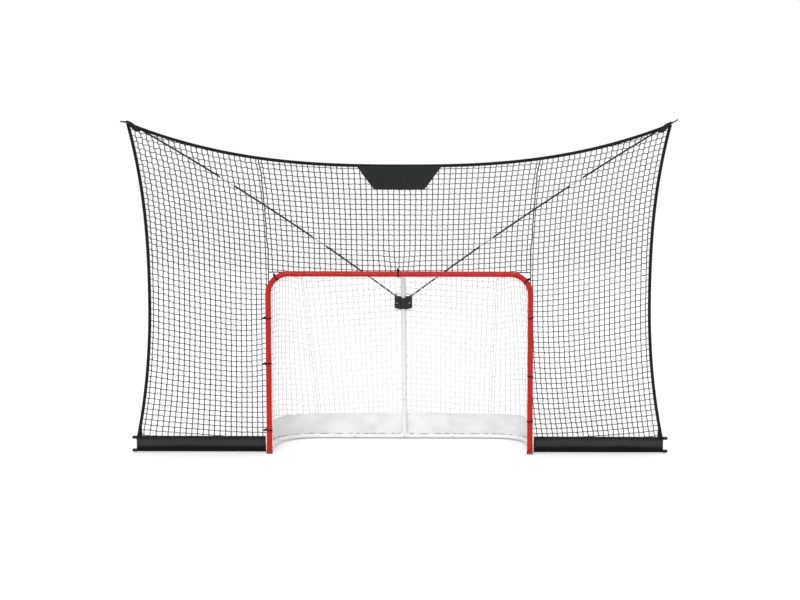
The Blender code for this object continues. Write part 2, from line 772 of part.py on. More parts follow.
def hub_bore():
    """Cutter for the bar through the hub."""
    reach = BAR_UP * (HUB_HALF_HEIGHT + 0.05)
    return tube("hub_bore", [HUB_CENTRE - reach, HUB_CENTRE + reach], bore_for_tube(POST_R), cutter=True)


def hub_bolt_spot(side):
    """Middle of a hub bolt, on the split between the halves."""
    return hub_frame() @ Vector((side * HUB_BOLT_X, 0, -HUB_BOLT_DROP))


def hub_half(name, facing):
    """Plate and boss of one half of the hub, on the side of the bar that facing tells."""
    item = plate(name, hub_outline(), 0, HUB_PLATE_T, HUB_BLACK)
    shift = Matrix.Translation((0, facing * (HUB_SPLIT + HUB_PLATE_T) / 2 - FRONT_Y, 0))
    item.data.transform(hub_frame() @ shift)
    low = HUB_CENTRE - BAR_UP * (HUB_HALF_HEIGHT + HUB_CHIN * 0.5)
    high = HUB_CENTRE + BAR_UP * (HUB_HALF_HEIGHT - HUB_NOTCH_DROP - 0.001)
    boss = tube(name + "_boss", [low, high], POST_R + HUB_BOSS_WALL, cutter=True)
    fuse(item, boss)
    return item


def finish_hub_half(item, facing):
    """Splits a half from the other, bores it and drills its bolt holes."""
    far = 0.2
    low = min(facing * HUB_SPLIT / 2, -facing * far)
    high = max(facing * HUB_SPLIT / 2, -facing * far)
    other = box(item.name + "_split", (-far, low, -far), (far, high, far), cutter=True)
    other.matrix_world = hub_frame()
    cut(item, other)
    cut(item, hub_bore())
    for side in (-1, 1):
        spot = hub_bolt_spot(side)
        cut(item, tube("hub_bolt_hole", [spot + BAR_FACING * 0.05, spot - BAR_FACING * 0.05],
                       (BOLT_R + GAP) / FACET, sides=12, cutter=True))
    return item


def hub_front():
    """Half of the hub inside the goal."""
    return finish_hub_half(hub_half("hub_front", -1), -1)


def hub_rear():
    """Half of the hub behind the goal, with the sockets for the two upper rods."""
    item = hub_half("hub_rear", 1)
    for side in (-1, 1):
        points = rod_points(side, 0.0, HUB_SOCKET_RUN / (ROD_TIP_X - ROD_START_X), 3)
        points[0] = points[0] - (points[1] - points[0]).normalized() * ROD_R
        fuse(item, tube("socket_" + side_name(side), points, ROD_R + HUB_SOCKET_WALL, sides=12, cutter=True))
    finish_hub_half(item, 1)
    for side in (-1, 1):
        points = rod_points(side, 0.0, 0.1, 8)
        points[0] = points[0] - (points[1] - points[0]).normalized() * GAP
        cut(item, tube("socket_bore_" + side_name(side), points, bore_for_tube(ROD_R), sides=8, cutter=True))
    return item


def hub_bolts():
    """Two bolts that clamp the hub's halves together."""
    grip = HUB_PLATE_T + HUB_SPLIT / 2
    for side in (-1, 1):
        bolt("hub_bolt_" + side_name(side), hub_bolt_spot(side), BAR_FACING, grip)


def rod_point(side, share):
    """Point on an upper rod's middle line, from the hub at 0 to the tip at 1."""
    run = (ROD_TIP_X - ROD_START_X) * share
    bow = (ROD_SLOPE_END - ROD_SLOPE_START) / (2 * (ROD_TIP_X - ROD_START_X))
    rise = ROD_SLOPE_START * run + bow * run ** 2
    fall = ROD_START_DEPTH - ROD_TIP_DEPTH
    depth = ROD_START_DEPTH - ROD_DEPTH_START * share - (fall - ROD_DEPTH_START) * share ** 2
    return place(side * (ROD_START_X + run), depth, ROD_START_Z + rise)


def rod_share(x):
    """Share of an upper rod's length at an offset from the middle."""
    return (x - ROD_START_X) / (ROD_TIP_X - ROD_START_X)


def rod_points(side, start, end, count):
    """Evenly spaced points on a stretch of an upper rod."""
    return [rod_point(side, mix(start, end, k / count)) for k in range(count + 1)]


def upper_rod(side, word, start, end):
    """One length of an upper rod."""
    count = max(3, round((end - start) * 22))
    name = "upper_rod_" + side_name(side) + "_" + word
    return tube(name, rod_points(side, start, end, count), ROD_R, ROD_BLACK, sides=8)


def add_ferrule(item, side, x):
    """Bonds a sleeve over the end of a length of rod, open for the next length."""
    half = FERRULE_HALF * 0.83 / (ROD_TIP_X - ROD_START_X)
    middle = rod_share(x)
    bore = bore_for_tube(ROD_R)
    sleeve = rod_points(side, middle - half, middle + half, 3)
    fuse(item, tube(item.name + "_ferrule", sleeve, bore + FERRULE_WALL, sides=12, cutter=True))
    socket = rod_points(side, middle, middle + half * 1.5, 4)
    cut(item, tube(item.name + "_socket", socket, bore, sides=8, cutter=True))


def upper_rods(side):
    """The three lengths of an upper rod: each of the first two ends in a ferrule, the last in a cap."""
    butt = GAP / (ROD_TIP_X - ROD_START_X)
    inner, outer = (rod_share(x) for x in FERRULE_X)
    add_ferrule(upper_rod(side, "inner", 0.0, inner - butt), side, FERRULE_X[0])
    add_ferrule(upper_rod(side, "middle", inner + butt, outer - butt), side, FERRULE_X[1])
    tip_rod = upper_rod(side, "outer", outer + butt, 1.0)
    tip = rod_point(side, 1.0)
    run = (tip - rod_point(side, 0.98)).normalized()
    points = [tip - run * TIP_CAP_LENGTH, tip + run * TIP_CAP_WALL]
    fuse(tip_rod, tube(tip_rod.name + "_cap", points, ROD_R + TIP_CAP_WALL, sides=12, cutter=True))


# Lower rods, brackets and foot panels

def low_rod_start(level):
    """Offset at which a lower rod starts in its bracket, for the lower or the upper one."""
    if level == 0:
        return BRACKET_OUT_X - BRACKET_LEG_T + SLEEVE_WALL
    return POST_X - BRACKET_IN + SLEEVE_WALL


def lower_rod(side, level):
    """Straight rod through a sleeve of the foot panel, with a cap bonded to its outer end."""
    name = "lower_rod_" + side_name(side) + ("_bottom" if level == 0 else "_top")
    z = LOW_ROD_Z[level]
    end = place(side * LOW_ROD_END, LOW_ROD_DEPTH, z)
    item = tube(name, [place(side * low_rod_start(level), LOW_ROD_DEPTH, z), end], ROD_R, ROD_BLACK, sides=12)
    cap = [end - RIGHT * side * (END_CAP_LENGTH - END_CAP_FLOOR), end + RIGHT * side * END_CAP_FLOOR]
    fuse(item, tube(name + "_cap", cap, END_CAP_R, sides=12, cutter=True))
    return item


def rod_bracket(side):
    """Moulded bracket behind a post: a block with a seat for the tube, and a leg for the bottom rod."""
    word = side_name(side)
    low, high = sorted((side * (POST_X - BRACKET_IN), side * BRACKET_OUT_X))
    corner = place(high, BRACKET_BACK, BRACKET_Z[1])
    item = box("rod_bracket_" + word, place(low, BRACKET_FRONT, BRACKET_Z[0]), corner, HUB_BLACK)
    low, high = sorted((side * (BRACKET_OUT_X - BRACKET_LEG_T), side * BRACKET_OUT_X))
    leg = box("bracket_leg_" + word, place(low, BRACKET_FRONT + SLEEVE_R, BRACKET_FOOT_Z),
              place(high, BRACKET_BACK, BRACKET_Z[0] + 0.01), cutter=True)
    fuse(item, leg)
    post = [place(side * POST_X, 0, 0), place(side * POST_X, 0, 0.5)]
    cut(item, tube("bracket_seat_" + word, post, bore_for_tube(POST_R), cutter=True))
    for level, z in enumerate(LOW_ROD_Z):
        start = low_rod_start(level) - GAP
        points = [place(side * start, LOW_ROD_DEPTH, z), place(side * (BRACKET_OUT_X + 0.02), LOW_ROD_DEPTH, z)]
        cut(item, tube("bracket_bore_" + word, points, bore_for_tube(ROD_R), sides=12, cutter=True))
    start, end = screw_path(side)
    cut(item, tube("bracket_screw_hole_" + word, [start, end], SCREW_R + GAP, sides=8, cutter=True))
    edge = item.modifiers.new("edge", "BEVEL")
    edge.width = BUTTON_EDGE
    edge.limit_method = "ANGLE"
    item.modifiers.move(len(item.modifiers) - 1, 0)
    return item


def foot_panel(side):
    """Strip of cloth between two sleeves, one round each lower rod."""
    word = side_name(side)
    low, high = sorted((side * PANEL_IN_X, side * PANEL_OUT_X))
    item = box("foot_panel_" + word, place(low, LOW_ROD_DEPTH - SLEEVE_WALL, LOW_ROD_Z[0]),
               place(high, LOW_ROD_DEPTH + SLEEVE_WALL, LOW_ROD_Z[1]), PANEL_BLACK)
    for z in LOW_ROD_Z:
        sleeve = tube("sleeve_" + word, [place(low, LOW_ROD_DEPTH, z), place(high, LOW_ROD_DEPTH, z)],
                      SLEEVE_R / FACET, sides=12, cutter=True)
        fuse(item, sleeve)
    for z in LOW_ROD_Z:
        points = [place(low - 0.01, LOW_ROD_DEPTH, z), place(high + 0.01, LOW_ROD_DEPTH, z)]
        cut(item, tube("sleeve_bore_" + word, points, bore_for_tube(ROD_R), sides=12, cutter=True))
    return item


# Backstop net

def top_edge(x):
    """Height of the backstop's upper edge."""
    return TOP_MIDDLE_Z + (TOP_CORNER_Z - TOP_MIDDLE_Z) * (abs(x) / TOP_CORNER_X) ** TOP_CURVE


def side_edge(z):
    """Offset of the backstop's side edge, drawn in at the waist."""
    if z > WAIST_Z:
        return WAIST_X + (TOP_CORNER_X - WAIST_X) * ((z - WAIST_Z) / (TOP_CORNER_Z - WAIST_Z)) ** SIDE_CURVE
    return WAIST_X + (FOOT_X - WAIST_X) * ((WAIST_Z - z) / WAIST_Z) ** FOOT_CURVE


def seam(z):
    """Offset of the seam between the side and middle nets, above the post's middle line."""
    rise = max(z - CROSSBAR_Z, 0.0) / (TOP_MIDDLE_Z - CROSSBAR_Z)
    return POST_X + (SEAM_TOP_X - POST_X) * rise ** 2


def backstop_side(side):
    """Net beside the goal and above it to the corner."""
    def surface(u, v):
        top_x = mix(SEAM_TOP_X, TOP_CORNER_X - NET_EDGE_IN, u)
        z = mix(NET_FOOT_Z, top_edge(top_x) - NET_EDGE_IN, v)
        x = mix(seam(z), side_edge(z) - NET_EDGE_IN, u)
        return place(side * x, NET_DEPTH, min(z, top_edge(x) - NET_EDGE_IN))
    return fabric("backstop_net_" + side_name(side), surface, 5, 10, NET_T, NET_BLACK, STRAND)


def backstop_centre():
    """Net above the crossbar, between the two seams."""
    def surface(u, v):
        share = 2 * u - 1
        z = mix(BACKSTOP_FOOT_Z, top_edge(share * SEAM_TOP_X) - NET_EDGE_IN, v)
        return place(share * (seam(z) - SEAM_GAP), NET_DEPTH, z)
    return fabric("backstop_net_centre", surface, 10, 4, NET_T, NET_BLACK, STRAND)


def backstop_binding():
    """Webbing sewn round the backstop, up one side, along the top and down the other."""
    top = top_edge(TOP_CORNER_X)
    heights = [mix(NET_FOOT_Z, top, k / 14) for k in range(14)]
    offsets = [mix(-TOP_CORNER_X, TOP_CORNER_X, k / 22) for k in range(23)]
    outer = [(-side_edge(z), z) for z in heights]
    outer += [(x, top_edge(x)) for x in offsets]
    outer += [(side_edge(z), z) for z in reversed(heights)]
    corner = TOP_CORNER_X - BAND_WIDTH
    low = top_edge(corner) - BAND_WIDTH
    heights = [mix(NET_FOOT_Z, low, k / 14) for k in range(14)]
    offsets = [mix(corner, -corner, k / 22) for k in range(23)]
    inner = [(side_edge(z) - BAND_WIDTH, z) for z in heights]
    inner += [(x, top_edge(x) - BAND_WIDTH) for x in offsets]
    inner += [(BAND_WIDTH - side_edge(z), z) for z in reversed(heights)]
    return plate("backstop_binding", outer + inner, BAND_DEPTH, BAND_T, WEB_BLACK)


def corner_pocket(side):
    """Pocket at an upper corner: a cloth triangle, its tail and the sleeve over the rod's cap."""
    word = side_name(side)
    x, z = TOP_CORNER_X, TOP_CORNER_Z
    low = z - POCKET_SIDE
    outline = [(x, z), (x + POCKET_TAIL, z + POCKET_TAIL_HALF), (x + POCKET_TAIL, z - POCKET_TAIL_HALF)]
    outline += [(x, z - POCKET_TAIL_HALF * 2), (side_edge(low), low)]
    outline.append((x - POCKET_SIDE, top_edge(x - POCKET_SIDE)))
    outline = [(side * a, b) for a, b in outline]
    item = plate("corner_pocket_" + word, outline, POCKET_DEPTH, POCKET_T, PANEL_BLACK)
    cap_r = (ROD_R + TIP_CAP_WALL + GAP) / FACET
    tip = rod_point(side, 1.0)
    run = (tip - rod_point(side, 0.98)).normalized()
    start = tip - run * TIP_CAP_LENGTH * 1.2
    end = tip + run * (TIP_CAP_WALL + GAP * 2)
    sleeve = [start, end + run * POCKET_T]
    fuse(item, tube("pocket_sleeve_" + word, sleeve, cap_r + POCKET_T, sides=12, cutter=True))
    cut(item, tube("pocket_bore_" + word, [start - run * 0.02, end], cap_r, sides=12, cutter=True))
    return item


def banner():
    """Plain cloth trapezoid hanging from the middle of the top band."""
    top = TOP_MIDDLE_Z - BAND_WIDTH - GAP
    foot = top - BANNER_HEIGHT
    outline = [(-BANNER_TOP_HALF, top), (BANNER_TOP_HALF, top)]
    outline += [(BANNER_FOOT_HALF, foot), (-BANNER_FOOT_HALF, foot)]
    return plate("banner", outline, BAND_DEPTH, BAND_T, PANEL_BLACK)


def strap(name, spot, along, slack, tail_direction):
    """Webbing loop round a tube, with a short tail."""
    inner = (POST_R + slack) / FACET
    outer = inner + STRAP_T
    half = STRAP_WIDTH / 2
    profile = [(inner, half), (outer, half), (outer, -half), (inner, -half)]
    item = turned(name, profile, spot, along, WEB_BLACK, closed=True)
    tail = box(name + "_tail", (inner + STRAP_T / 4, -STRAP_T / 2, -half * 0.8),
               (outer + TAB_LENGTH, STRAP_T / 2, half * 0.8), cutter=True)
    axis = Vector(along).normalized()
    out = Vector(tail_direction)
    out = (out - axis * out.dot(axis)).normalized()
    turn = Matrix((out, axis.cross(out), axis)).transposed().to_4x4()
    tail.matrix_world = Matrix.Translation(spot) @ turn
    fuse(item, tail)
    return item


def post_straps(side):
    """Three straps that tie the backstop to a post."""
    heights = LEFT_STRAP_Z if side < 0 else RIGHT_STRAP_Z
    for word, z in zip(("high", "middle", "low"), heights):
        strap("strap_" + side_name(side) + "_" + word, place(side * POST_X, 0, z), UP, GAP, (side, -0.25, 0))


def crossbar_straps():
    """Straps at both bends and at the middle of the crossbar."""
    middle = strap("strap_crossbar", place(MIDDLE_STRAP_X, 0, CROSSBAR_Z), RIGHT, GAP, (0, -0.3, 1))
    start = place(0, BAR_FRONT_DEPTH, BAR_FRONT_Z)
    run = (BAR_SHOULDER - start).normalized()
    bar_room = [start - run * 0.02, start + run * 0.1]
    cut(middle, tube("bar_room", bar_room, bore_for_tube(POST_R), cutter=True))
    for side, angle in zip((-1, 1), CORNER_STRAP_ANGLES):
        turn = radians(angle)
        out = Vector((side * cos(turn), 0, sin(turn)))
        centre = place(side * (POST_X - CORNER_BEND_R), 0, CROSSBAR_Z - CORNER_BEND_R)
        along = Vector((-side * sin(turn), 0, cos(turn)))
        spot = centre + out * CORNER_BEND_R
        strap("strap_corner_" + side_name(side), spot, along, STRAP_SLACK, out + FRONT * 0.25)


# Goal net and skirt

MESH_OUT = STUB_R + GAP + MESH_T / 2
MESH_FOOT_Z = SKIRT_TOP + GAP * 5


def route_point(points, share):
    """Point at a share of the length of a line of points."""
    lengths = [(b - a).length for a, b in zip(points, points[1:])]
    left = share * sum(lengths)
    for start, end, length in zip(points, points[1:], lengths):
        if left <= length:
            return start.lerp(end, left / length)
        left -= length
    return points[-1].copy()


def side_foot(side, u, z):
    """Point of the side net's lower edge, outside the base tube."""
    points = base_route(side, MESH_OUT, 10, BRACKET_BACK + 0.003)
    spot = route_point(points, u)
    spot.z = z
    return spot


def side_head(side, u):
    """Point of the side net's upper edge, behind the round bend and the start of the crossbar."""
    top = CROSSBAR_Z - NET_TOP_DROP
    bend = fillet(place(side * POST_X, 0, 0), place(side * POST_X, 0, top), place(0, 0, top), CORNER_BEND_R)
    spot = route_point([*bend, place(side * CREASE_TOP_X, 0, top)], u)
    spot.y = FRONT_Y + MESH_DEPTH
    return spot


def goal_net_side(side):
    """Net from a post back round the corner of the base, up to the frame's bend."""
    def surface(u, v):
        return side_foot(side, u, MESH_FOOT_Z).lerp(side_head(side, u), v)
    return fabric("goal_net_" + side_name(side), surface, 4, 5, MESH_T, NET_WHITE, STRAND)


def ridge_point(u):
    """Point of the fold between the net's roof and back, over the bar at 0, at the crossbar at -1 and 1."""
    over = POST_R + GAP + MESH_T / 2 + RIDGE_ROOM
    start = place(0, BAR_SHOULDER_DEPTH + over, BAR_SHOULDER_Z + over)
    end = place((CREASE_TOP_X - GAP * 4) * (1 if u > 0 else -1), MESH_DEPTH + ROOF_CORNER_DEPTH, ROOF_Z)
    return start.lerp(end, abs(u))


def goal_net_roof():
    """Net from the crossbar back over the centre bar to the ridge."""
    def surface(u, v):
        back = ridge_point(2 * u - 1)
        front = place(back.x, MESH_DEPTH, ROOF_Z)
        return front.lerp(back, v * (1 - GAP * 4 / (back - front).length))
    return fabric("goal_net_roof", surface, 8, 2, MESH_T, NET_WHITE, STRAND)


def goal_net_back():
    """Net from the ridge down behind the bar to the skirt, open round the hub."""
    def surface(u, v):
        share = 2 * u - 1
        low = place(share * (POST_X - BASE_BEND_R - GAP * 4), GOAL_DEPTH + MESH_OUT, MESH_FOOT_Z)
        high = ridge_point(share) + Vector((-share * GAP * 4, 0, -MESH_T))
        return low.lerp(high, v)
    item = fabric("goal_net_back", surface, 8, 5, MESH_T, NET_WHITE, STRAND)
    width = HUB_HALF_WIDTH + HUB_ROOM
    low = -HUB_HALF_HEIGHT - HUB_CHIN - HUB_ROOM
    room = box("hub_room", (-width, -0.1, low), (width, 0.1, HUB_HALF_HEIGHT + HUB_ROOM * 2), cutter=True)
    room.matrix_world = hub_frame()
    cut(item, room)
    return item


def skirt():
    """White cloth strip round the base from post to post, notched for the saddle."""
    left = base_route(-1, MESH_OUT, 10, BRACKET_BACK + 0.003)
    route = left + [Vector((-point.x, point.y, point.z)) for point in reversed(left)]
    last = len(route) - 1

    def surface(u, v):
        spot = route[round(u * last)].copy()
        spot.z = mix(SKIRT_FOOT, SKIRT_TOP, v)
        return spot
    item = fabric("skirt", surface, last, 1, SKIRT_T, CLOTH_WHITE)
    room = SADDLE_HALF + GAP * 4
    cut(item, box("saddle_room", place(-room, GOAL_DEPTH, -0.1),
                  place(room, GOAL_DEPTH + 0.1, BASE_R + SADDLE_R + GAP * 4), cutter=True))
    return item


def build():
    """Makes every part."""
    for side in (-1, 1):
        corner_tube(side)
        foot_cap(side)
        base_tube_side(side)
        upper_rods(side)
        rod_bracket(side)
        bracket_screw(side)
        foot_panel(side)
        backstop_side(side)
        corner_pocket(side)
        post_straps(side)
        goal_net_side(side)
        for level in (0, 1):
            lower_rod(side, level)
    crossbar_tube()
    base_tube_rear()
    centre_bar_upper()
    centre_bar_lower()
    bar_bolts()
    for joint in JOINTS.values():
        joint.button()
    hub_front()
    hub_rear()
    hub_bolts()
    backstop_centre()
    backstop_binding()
    banner()
    crossbar_straps()
    goal_net_roof()
    goal_net_back()
    skirt()


build()
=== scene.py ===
"""Hockey goal with a backstop: finishes, nets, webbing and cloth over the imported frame.

Metres. X is to the right seen from the front, Y to the back, Z up. A depth is measured back from the
middle of the posts. Hard pieces keep their solids and get a finish. Nets, cloth and straps are made
here in the place of their plain solids.
"""
from functools import partialmethod
from math import cos, exp, hypot, pi, radians, sin, sqrt

import bmesh
import bpy
from mathutils import Matrix, Vector, noise


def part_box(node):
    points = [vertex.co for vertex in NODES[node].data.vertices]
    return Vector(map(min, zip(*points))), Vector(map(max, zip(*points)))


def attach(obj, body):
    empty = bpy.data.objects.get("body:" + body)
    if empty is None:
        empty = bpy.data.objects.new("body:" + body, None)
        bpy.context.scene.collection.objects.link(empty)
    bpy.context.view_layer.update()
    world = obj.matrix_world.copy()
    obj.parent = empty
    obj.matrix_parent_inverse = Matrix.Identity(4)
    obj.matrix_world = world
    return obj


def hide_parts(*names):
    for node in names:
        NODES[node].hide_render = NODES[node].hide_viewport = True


bl_info = {
    "name": "Hockey Goal",
    "version": (1, 0, 0),
    "blender": (4, 5, 0),
    "location": "View3D > Sidebar > Hockey Goal",
    "description": "Finishes, nets, webbing and cloth of a hockey goal with a backstop",
    "category": "Add Mesh",
}

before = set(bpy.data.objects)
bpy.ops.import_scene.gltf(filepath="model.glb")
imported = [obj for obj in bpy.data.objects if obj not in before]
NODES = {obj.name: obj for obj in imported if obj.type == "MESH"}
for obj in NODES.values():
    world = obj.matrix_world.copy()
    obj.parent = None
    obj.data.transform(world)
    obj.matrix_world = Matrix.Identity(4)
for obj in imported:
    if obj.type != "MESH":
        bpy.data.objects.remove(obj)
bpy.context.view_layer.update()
BODY = "goal"
SIDES = ((-1, "left"), (1, "right"))
WHITE = (1.0, 1.0, 1.0, 1.0)


def middle(node):
    """Centre of a solid's box."""
    low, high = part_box(node)
    return (low + high) / 2


# Places taken from the frame
POST_X = middle("foot_cap_right").x
FRONT_Y = middle("foot_cap_right").y
CROSSBAR_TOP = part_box("crossbar_tube")[1].z
GOAL_DEPTH = middle("base_tube_rear").y - FRONT_Y
NET_DEPTH = middle("backstop_net_left").y - FRONT_Y
MESH_DEPTH = NET_DEPTH + 0.0033
NET_FOOT_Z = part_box("backstop_binding")[0].z
CENTRE_FOOT_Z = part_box("backstop_net_centre")[0].z
TOP_CORNER_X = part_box("backstop_binding")[1].x
TOP_CORNER_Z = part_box("backstop_binding")[1].z
HOLE_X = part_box("hub_front")[1].x + 0.003
HOLE_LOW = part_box("hub_front")[0].z - 0.003
HOLE_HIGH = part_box("hub_front")[1].z + 0.006
SKIRT_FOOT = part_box("skirt")[0].z
SKIRT_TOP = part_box("skirt")[1].z
PANEL_IN_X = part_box("foot_panel_right")[0].x
PANEL_OUT_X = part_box("foot_panel_right")[1].x + 0.004
LOW_ROD_DEPTH = middle("lower_rod_right_top").y - FRONT_Y
LOW_ROD_Z = (middle("lower_rod_right_bottom").z, middle("lower_rod_right_top").z)
BANNER_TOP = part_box("banner")[1].z
BANNER_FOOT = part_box("banner")[0].z
BANNER_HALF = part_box("banner")[1].x

# Tubes and bends of the frame
POST_R = 0.01905
BASE_R = 0.0159
STUB_R = 0.0183
ROD_R = 0.006
CROSSBAR_Z = CROSSBAR_TOP - POST_R
CORNER_BEND_R = 0.140
BASE_BEND_R = 0.260
BAR_SHOULDER = (GOAL_DEPTH - 0.106, CROSSBAR_Z - 0.03625)
FERRULE_X = (0.5985, 1.221)
FERRULE_HALF = 0.0457
ROD_START = (0.030, 0.4560, CROSSBAR_Z - 0.19925)
ROD_TIP_X = 1.828
ROD_TIP_DEPTH = 0.038
ROD_SLOPES = (0.745, 0.610)

# Outline of the backstop
TOP_MIDDLE_Z = 1.981
TOP_CURVE = 2.6
WAIST_X = 1.720
WAIST_Z = 1.070
FOOT_X = 1.840
SIDE_CURVE = 2.4
FOOT_CURVE = 2.1
SEAM_SPREAD = 0.05255
SEAM_WAVER = 0.009
NET_SLACK = 0.010
SIDE_COLUMN_SHARE = 0.962
SIDE_ROW_SHARE = 0.87
SIDE_ROW_GROWTH = 0.0023
CENTRE_COLUMN_SHARE = 0.985
CENTRE_ROW_SHARE = 0.94
BANNER_FOOT_HALF = 0.170
POCKET_REACH = 0.088
POCKET_EDGE = 0.0012
POCKET_RISE = 0.0046
CAP_R = 0.0114
CAP_PROFILE = ((0.0008, 0.86), (0.0030, 1.0), (0.0200, 1.0), (0.0270, 0.95), (0.0310, 0.70), (0.0325, 0.28))
TIP_CAP_R = 0.0112
SLEEVE_R = ROD_R + 0.0022
BAND_MARGIN = 0.010
KNOT_HALF = 0.0028
KNOT_SLANT = 0.0045
SQUARENESS = 0.85
ROW_SIZE = 0.88
COLUMN_SIZE = 1.04
EDGE_STEP = 0.002
BINDING_FOLD = 0.0036
MIDDLE_TIE_X = -0.008
TIE_PULL = 0.30
TIE_PULL_REACH = 0.11
LEFT_TIE_Z = (0.937, 0.621, 0.164)
RIGHT_TIE_Z = (0.941, 0.537, 0.229)
CORNER_TIE_ANGLES = (54.0, 40.0)

# White net
MESH_OUT = STUB_R + 0.0018
MESH_FOOT_Z = SKIRT_TOP + 0.0015
MESH_START = 0.0415
CREASE_TOP_X = POST_X - 0.23045
MESH_TOP_Z = CROSSBAR_Z - 0.012
ROOF_Z = CROSSBAR_Z + 0.00835
MESH_SLACK = 0.006
SIDE_COLUMNS = 15
ROOF_ROWS = 11
ROW_STRETCH = 1.09

# Walls of cloth and tape
TAPE_WALL = 0.0011
THIN_TAPE_WALL = 0.001
FOLDED_TIE_WALL = 0.0022
DOUBLED_TAPE_WALL = 0.0026
CLOTH_WALL = 0.0012
BANNER_WALL = 0.0011
SKIRT_WALL = 0.0014

# Camera, fitted to the photograph's frame of 800 by 600
CAMERA_PLACE = (0.4959, -7.3008, 1.5855)
CAMERA_PITCH = 4.0985
CAMERA_ROLL = 0.1253
FOCAL_PIXELS = 1073.47
PRINCIPAL_X = 72.01
PHOTO_WIDTH = 800
SENSOR_MM = 36.0


def place(x, depth, z):
    """Point from its offset, its depth behind the middle of the posts and its height."""
    return Vector((x, FRONT_Y + depth, z))


def mix(first, second, share):
    """Value between two others."""
    return first + (second - first) * share


def smooth_step(low, high, value):
    """0 below low, 1 above high, and an even rise between them."""
    share = min(max((value - low) / (high - low), 0.0), 1.0)
    return share * share * (3 - 2 * share)


def wander(x, y, z, size):
    """Even noise from -1 to 1 that changes over the given size."""
    return noise.noise(Vector((x, y, z)) / size)


def settings():
    """The goal's sizes and colours."""
    return bpy.context.scene.hockey_goal


# Lines of the object

def top_edge(x):
    """Height of the backstop's upper edge."""
    return TOP_MIDDLE_Z + (TOP_CORNER_Z - TOP_MIDDLE_Z) * (abs(x) / TOP_CORNER_X) ** TOP_CURVE


def side_edge(z):
    """Offset of the backstop's side edge, drawn in at the waist."""
    if z > WAIST_Z:
        return WAIST_X + (TOP_CORNER_X - WAIST_X) * ((z - WAIST_Z) / (TOP_CORNER_Z - WAIST_Z)) ** SIDE_CURVE
    return WAIST_X + (FOOT_X - WAIST_X) * ((WAIST_Z - z) / WAIST_Z) ** FOOT_CURVE


def seam(z):
    """Offset of the seam between the backstop's side and middle nets, a little uneven."""
    rise = max(z - CROSSBAR_Z, 0.0) / (TOP_MIDDLE_Z - CROSSBAR_Z)
    waver = SEAM_WAVER * wander(z, 0.0, 2.0, 0.11) * smooth_step(0.0, 0.15, rise)
    return POST_X + SEAM_SPREAD * rise ** 2 + waver


def rod_point(side, share):
    """Point on an upper rod's middle line, from the hub at 0 to the tip at 1."""
    start_x, start_depth, start_z = ROD_START
    run = (ROD_TIP_X - start_x) * share
    bow = (ROD_SLOPES[1] - ROD_SLOPES[0]) / (2 * (ROD_TIP_X - start_x))
    fall = start_depth - ROD_TIP_DEPTH
    depth = start_depth - 0.060 * share - (fall - 0.060) * share ** 2
    return place(side * (start_x + run), depth, start_z + ROD_SLOPES[0] * run + bow * run ** 2)


def base_line(distance, outward):
    """Offset and depth along the base tube from a post's stub round its bend, or on a line beside it."""
    straight = GOAL_DEPTH - BASE_BEND_R - MESH_START
    radius = BASE_BEND_R + outward
    if distance <= straight:
        return POST_X + outward, MESH_START + distance
    turn = min((distance - straight) / radius, pi / 2)
    return POST_X - BASE_BEND_R + radius * cos(turn), GOAL_DEPTH - BASE_BEND_R + radius * sin(turn)


def base_line_length(outward):
    """Length of that line."""
    return GOAL_DEPTH - BASE_BEND_R - MESH_START + (BASE_BEND_R + outward) * pi / 2


def head_line(share):
    """Offset and height along the frame's upper bend and the start of the crossbar, behind them."""
    bend = CORNER_BEND_R * pi / 2
    centre_x = POST_X - CORNER_BEND_R
    distance = share * (bend + centre_x - CREASE_TOP_X)
    if distance <= bend:
        turn = distance / CORNER_BEND_R
        return centre_x + CORNER_BEND_R * cos(turn), MESH_TOP_Z - CORNER_BEND_R * (1 - sin(turn))
    return centre_x - (distance - bend), MESH_TOP_Z


def ridge_point(share):
    """Point of the fold between the white net's roof and back, over the bar at 0."""
    over = POST_R + 0.0033
    start = place(0, BAR_SHOULDER[0] + over, BAR_SHOULDER[1] + over)
    end = place(CREASE_TOP_X * (1 if share > 0 else -1), MESH_DEPTH + 0.014, ROOF_Z)
    return start.lerp(end, abs(share))


# Building blocks for pieces

def placed(name, data):
    """Object for some data, in the scene."""
    item = bpy.data.objects.new(name, data)
    bpy.context.scene.collection.objects.link(item)
    return item


def piece(name, nodes, mesh, finish):
    """Object for a finished mesh, riding on the goal in the place of the named solids."""
    mesh.materials.clear()
    mesh.materials.append(finish)
    item = placed(name, mesh)
    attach(item, BODY)
    if nodes:
        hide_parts(*nodes)
    return item


def sheet(name, nodes, surface, mesh_size, flat, thickness, finish, closed=False, keep=None):
    """Cloth on a surface of (u, v). Its UV map is in metres, with the second value 0 at the middle."""
    mesh = bpy.data.meshes.new(name)
    work = bmesh.new()
    bmesh.ops.create_grid(work, x_segments=mesh_size[0], y_segments=mesh_size[1], size=0.5)
    layer = work.loops.layers.uv.new("UVMap")
    for face in work.faces:
        for loop in face.loops:
            spot = loop.vert.co
            loop[layer].uv = ((spot.x + 0.5) * flat[0], spot.y * flat[1])
    for vert in work.verts:
        vert.co = surface(vert.co.x + 0.5, vert.co.y + 0.5)
    if closed:
        bmesh.ops.remove_doubles(work, verts=work.verts, dist=0.00002)
    if keep is not None:
        gone = [face for face in work.faces if not keep(face.calc_center_median())]
        bmesh.ops.delete(work, geom=gone, context="FACES")
    bmesh.ops.recalc_face_normals(work, faces=work.faces)
    work.to_mesh(mesh)
    work.free()
    mesh.shade_smooth()
    item = piece(name, nodes, mesh, finish)
    wall = item.modifiers.new("thickness", "SOLIDIFY")
    wall.thickness = thickness
    wall.offset = 0.0
    return item


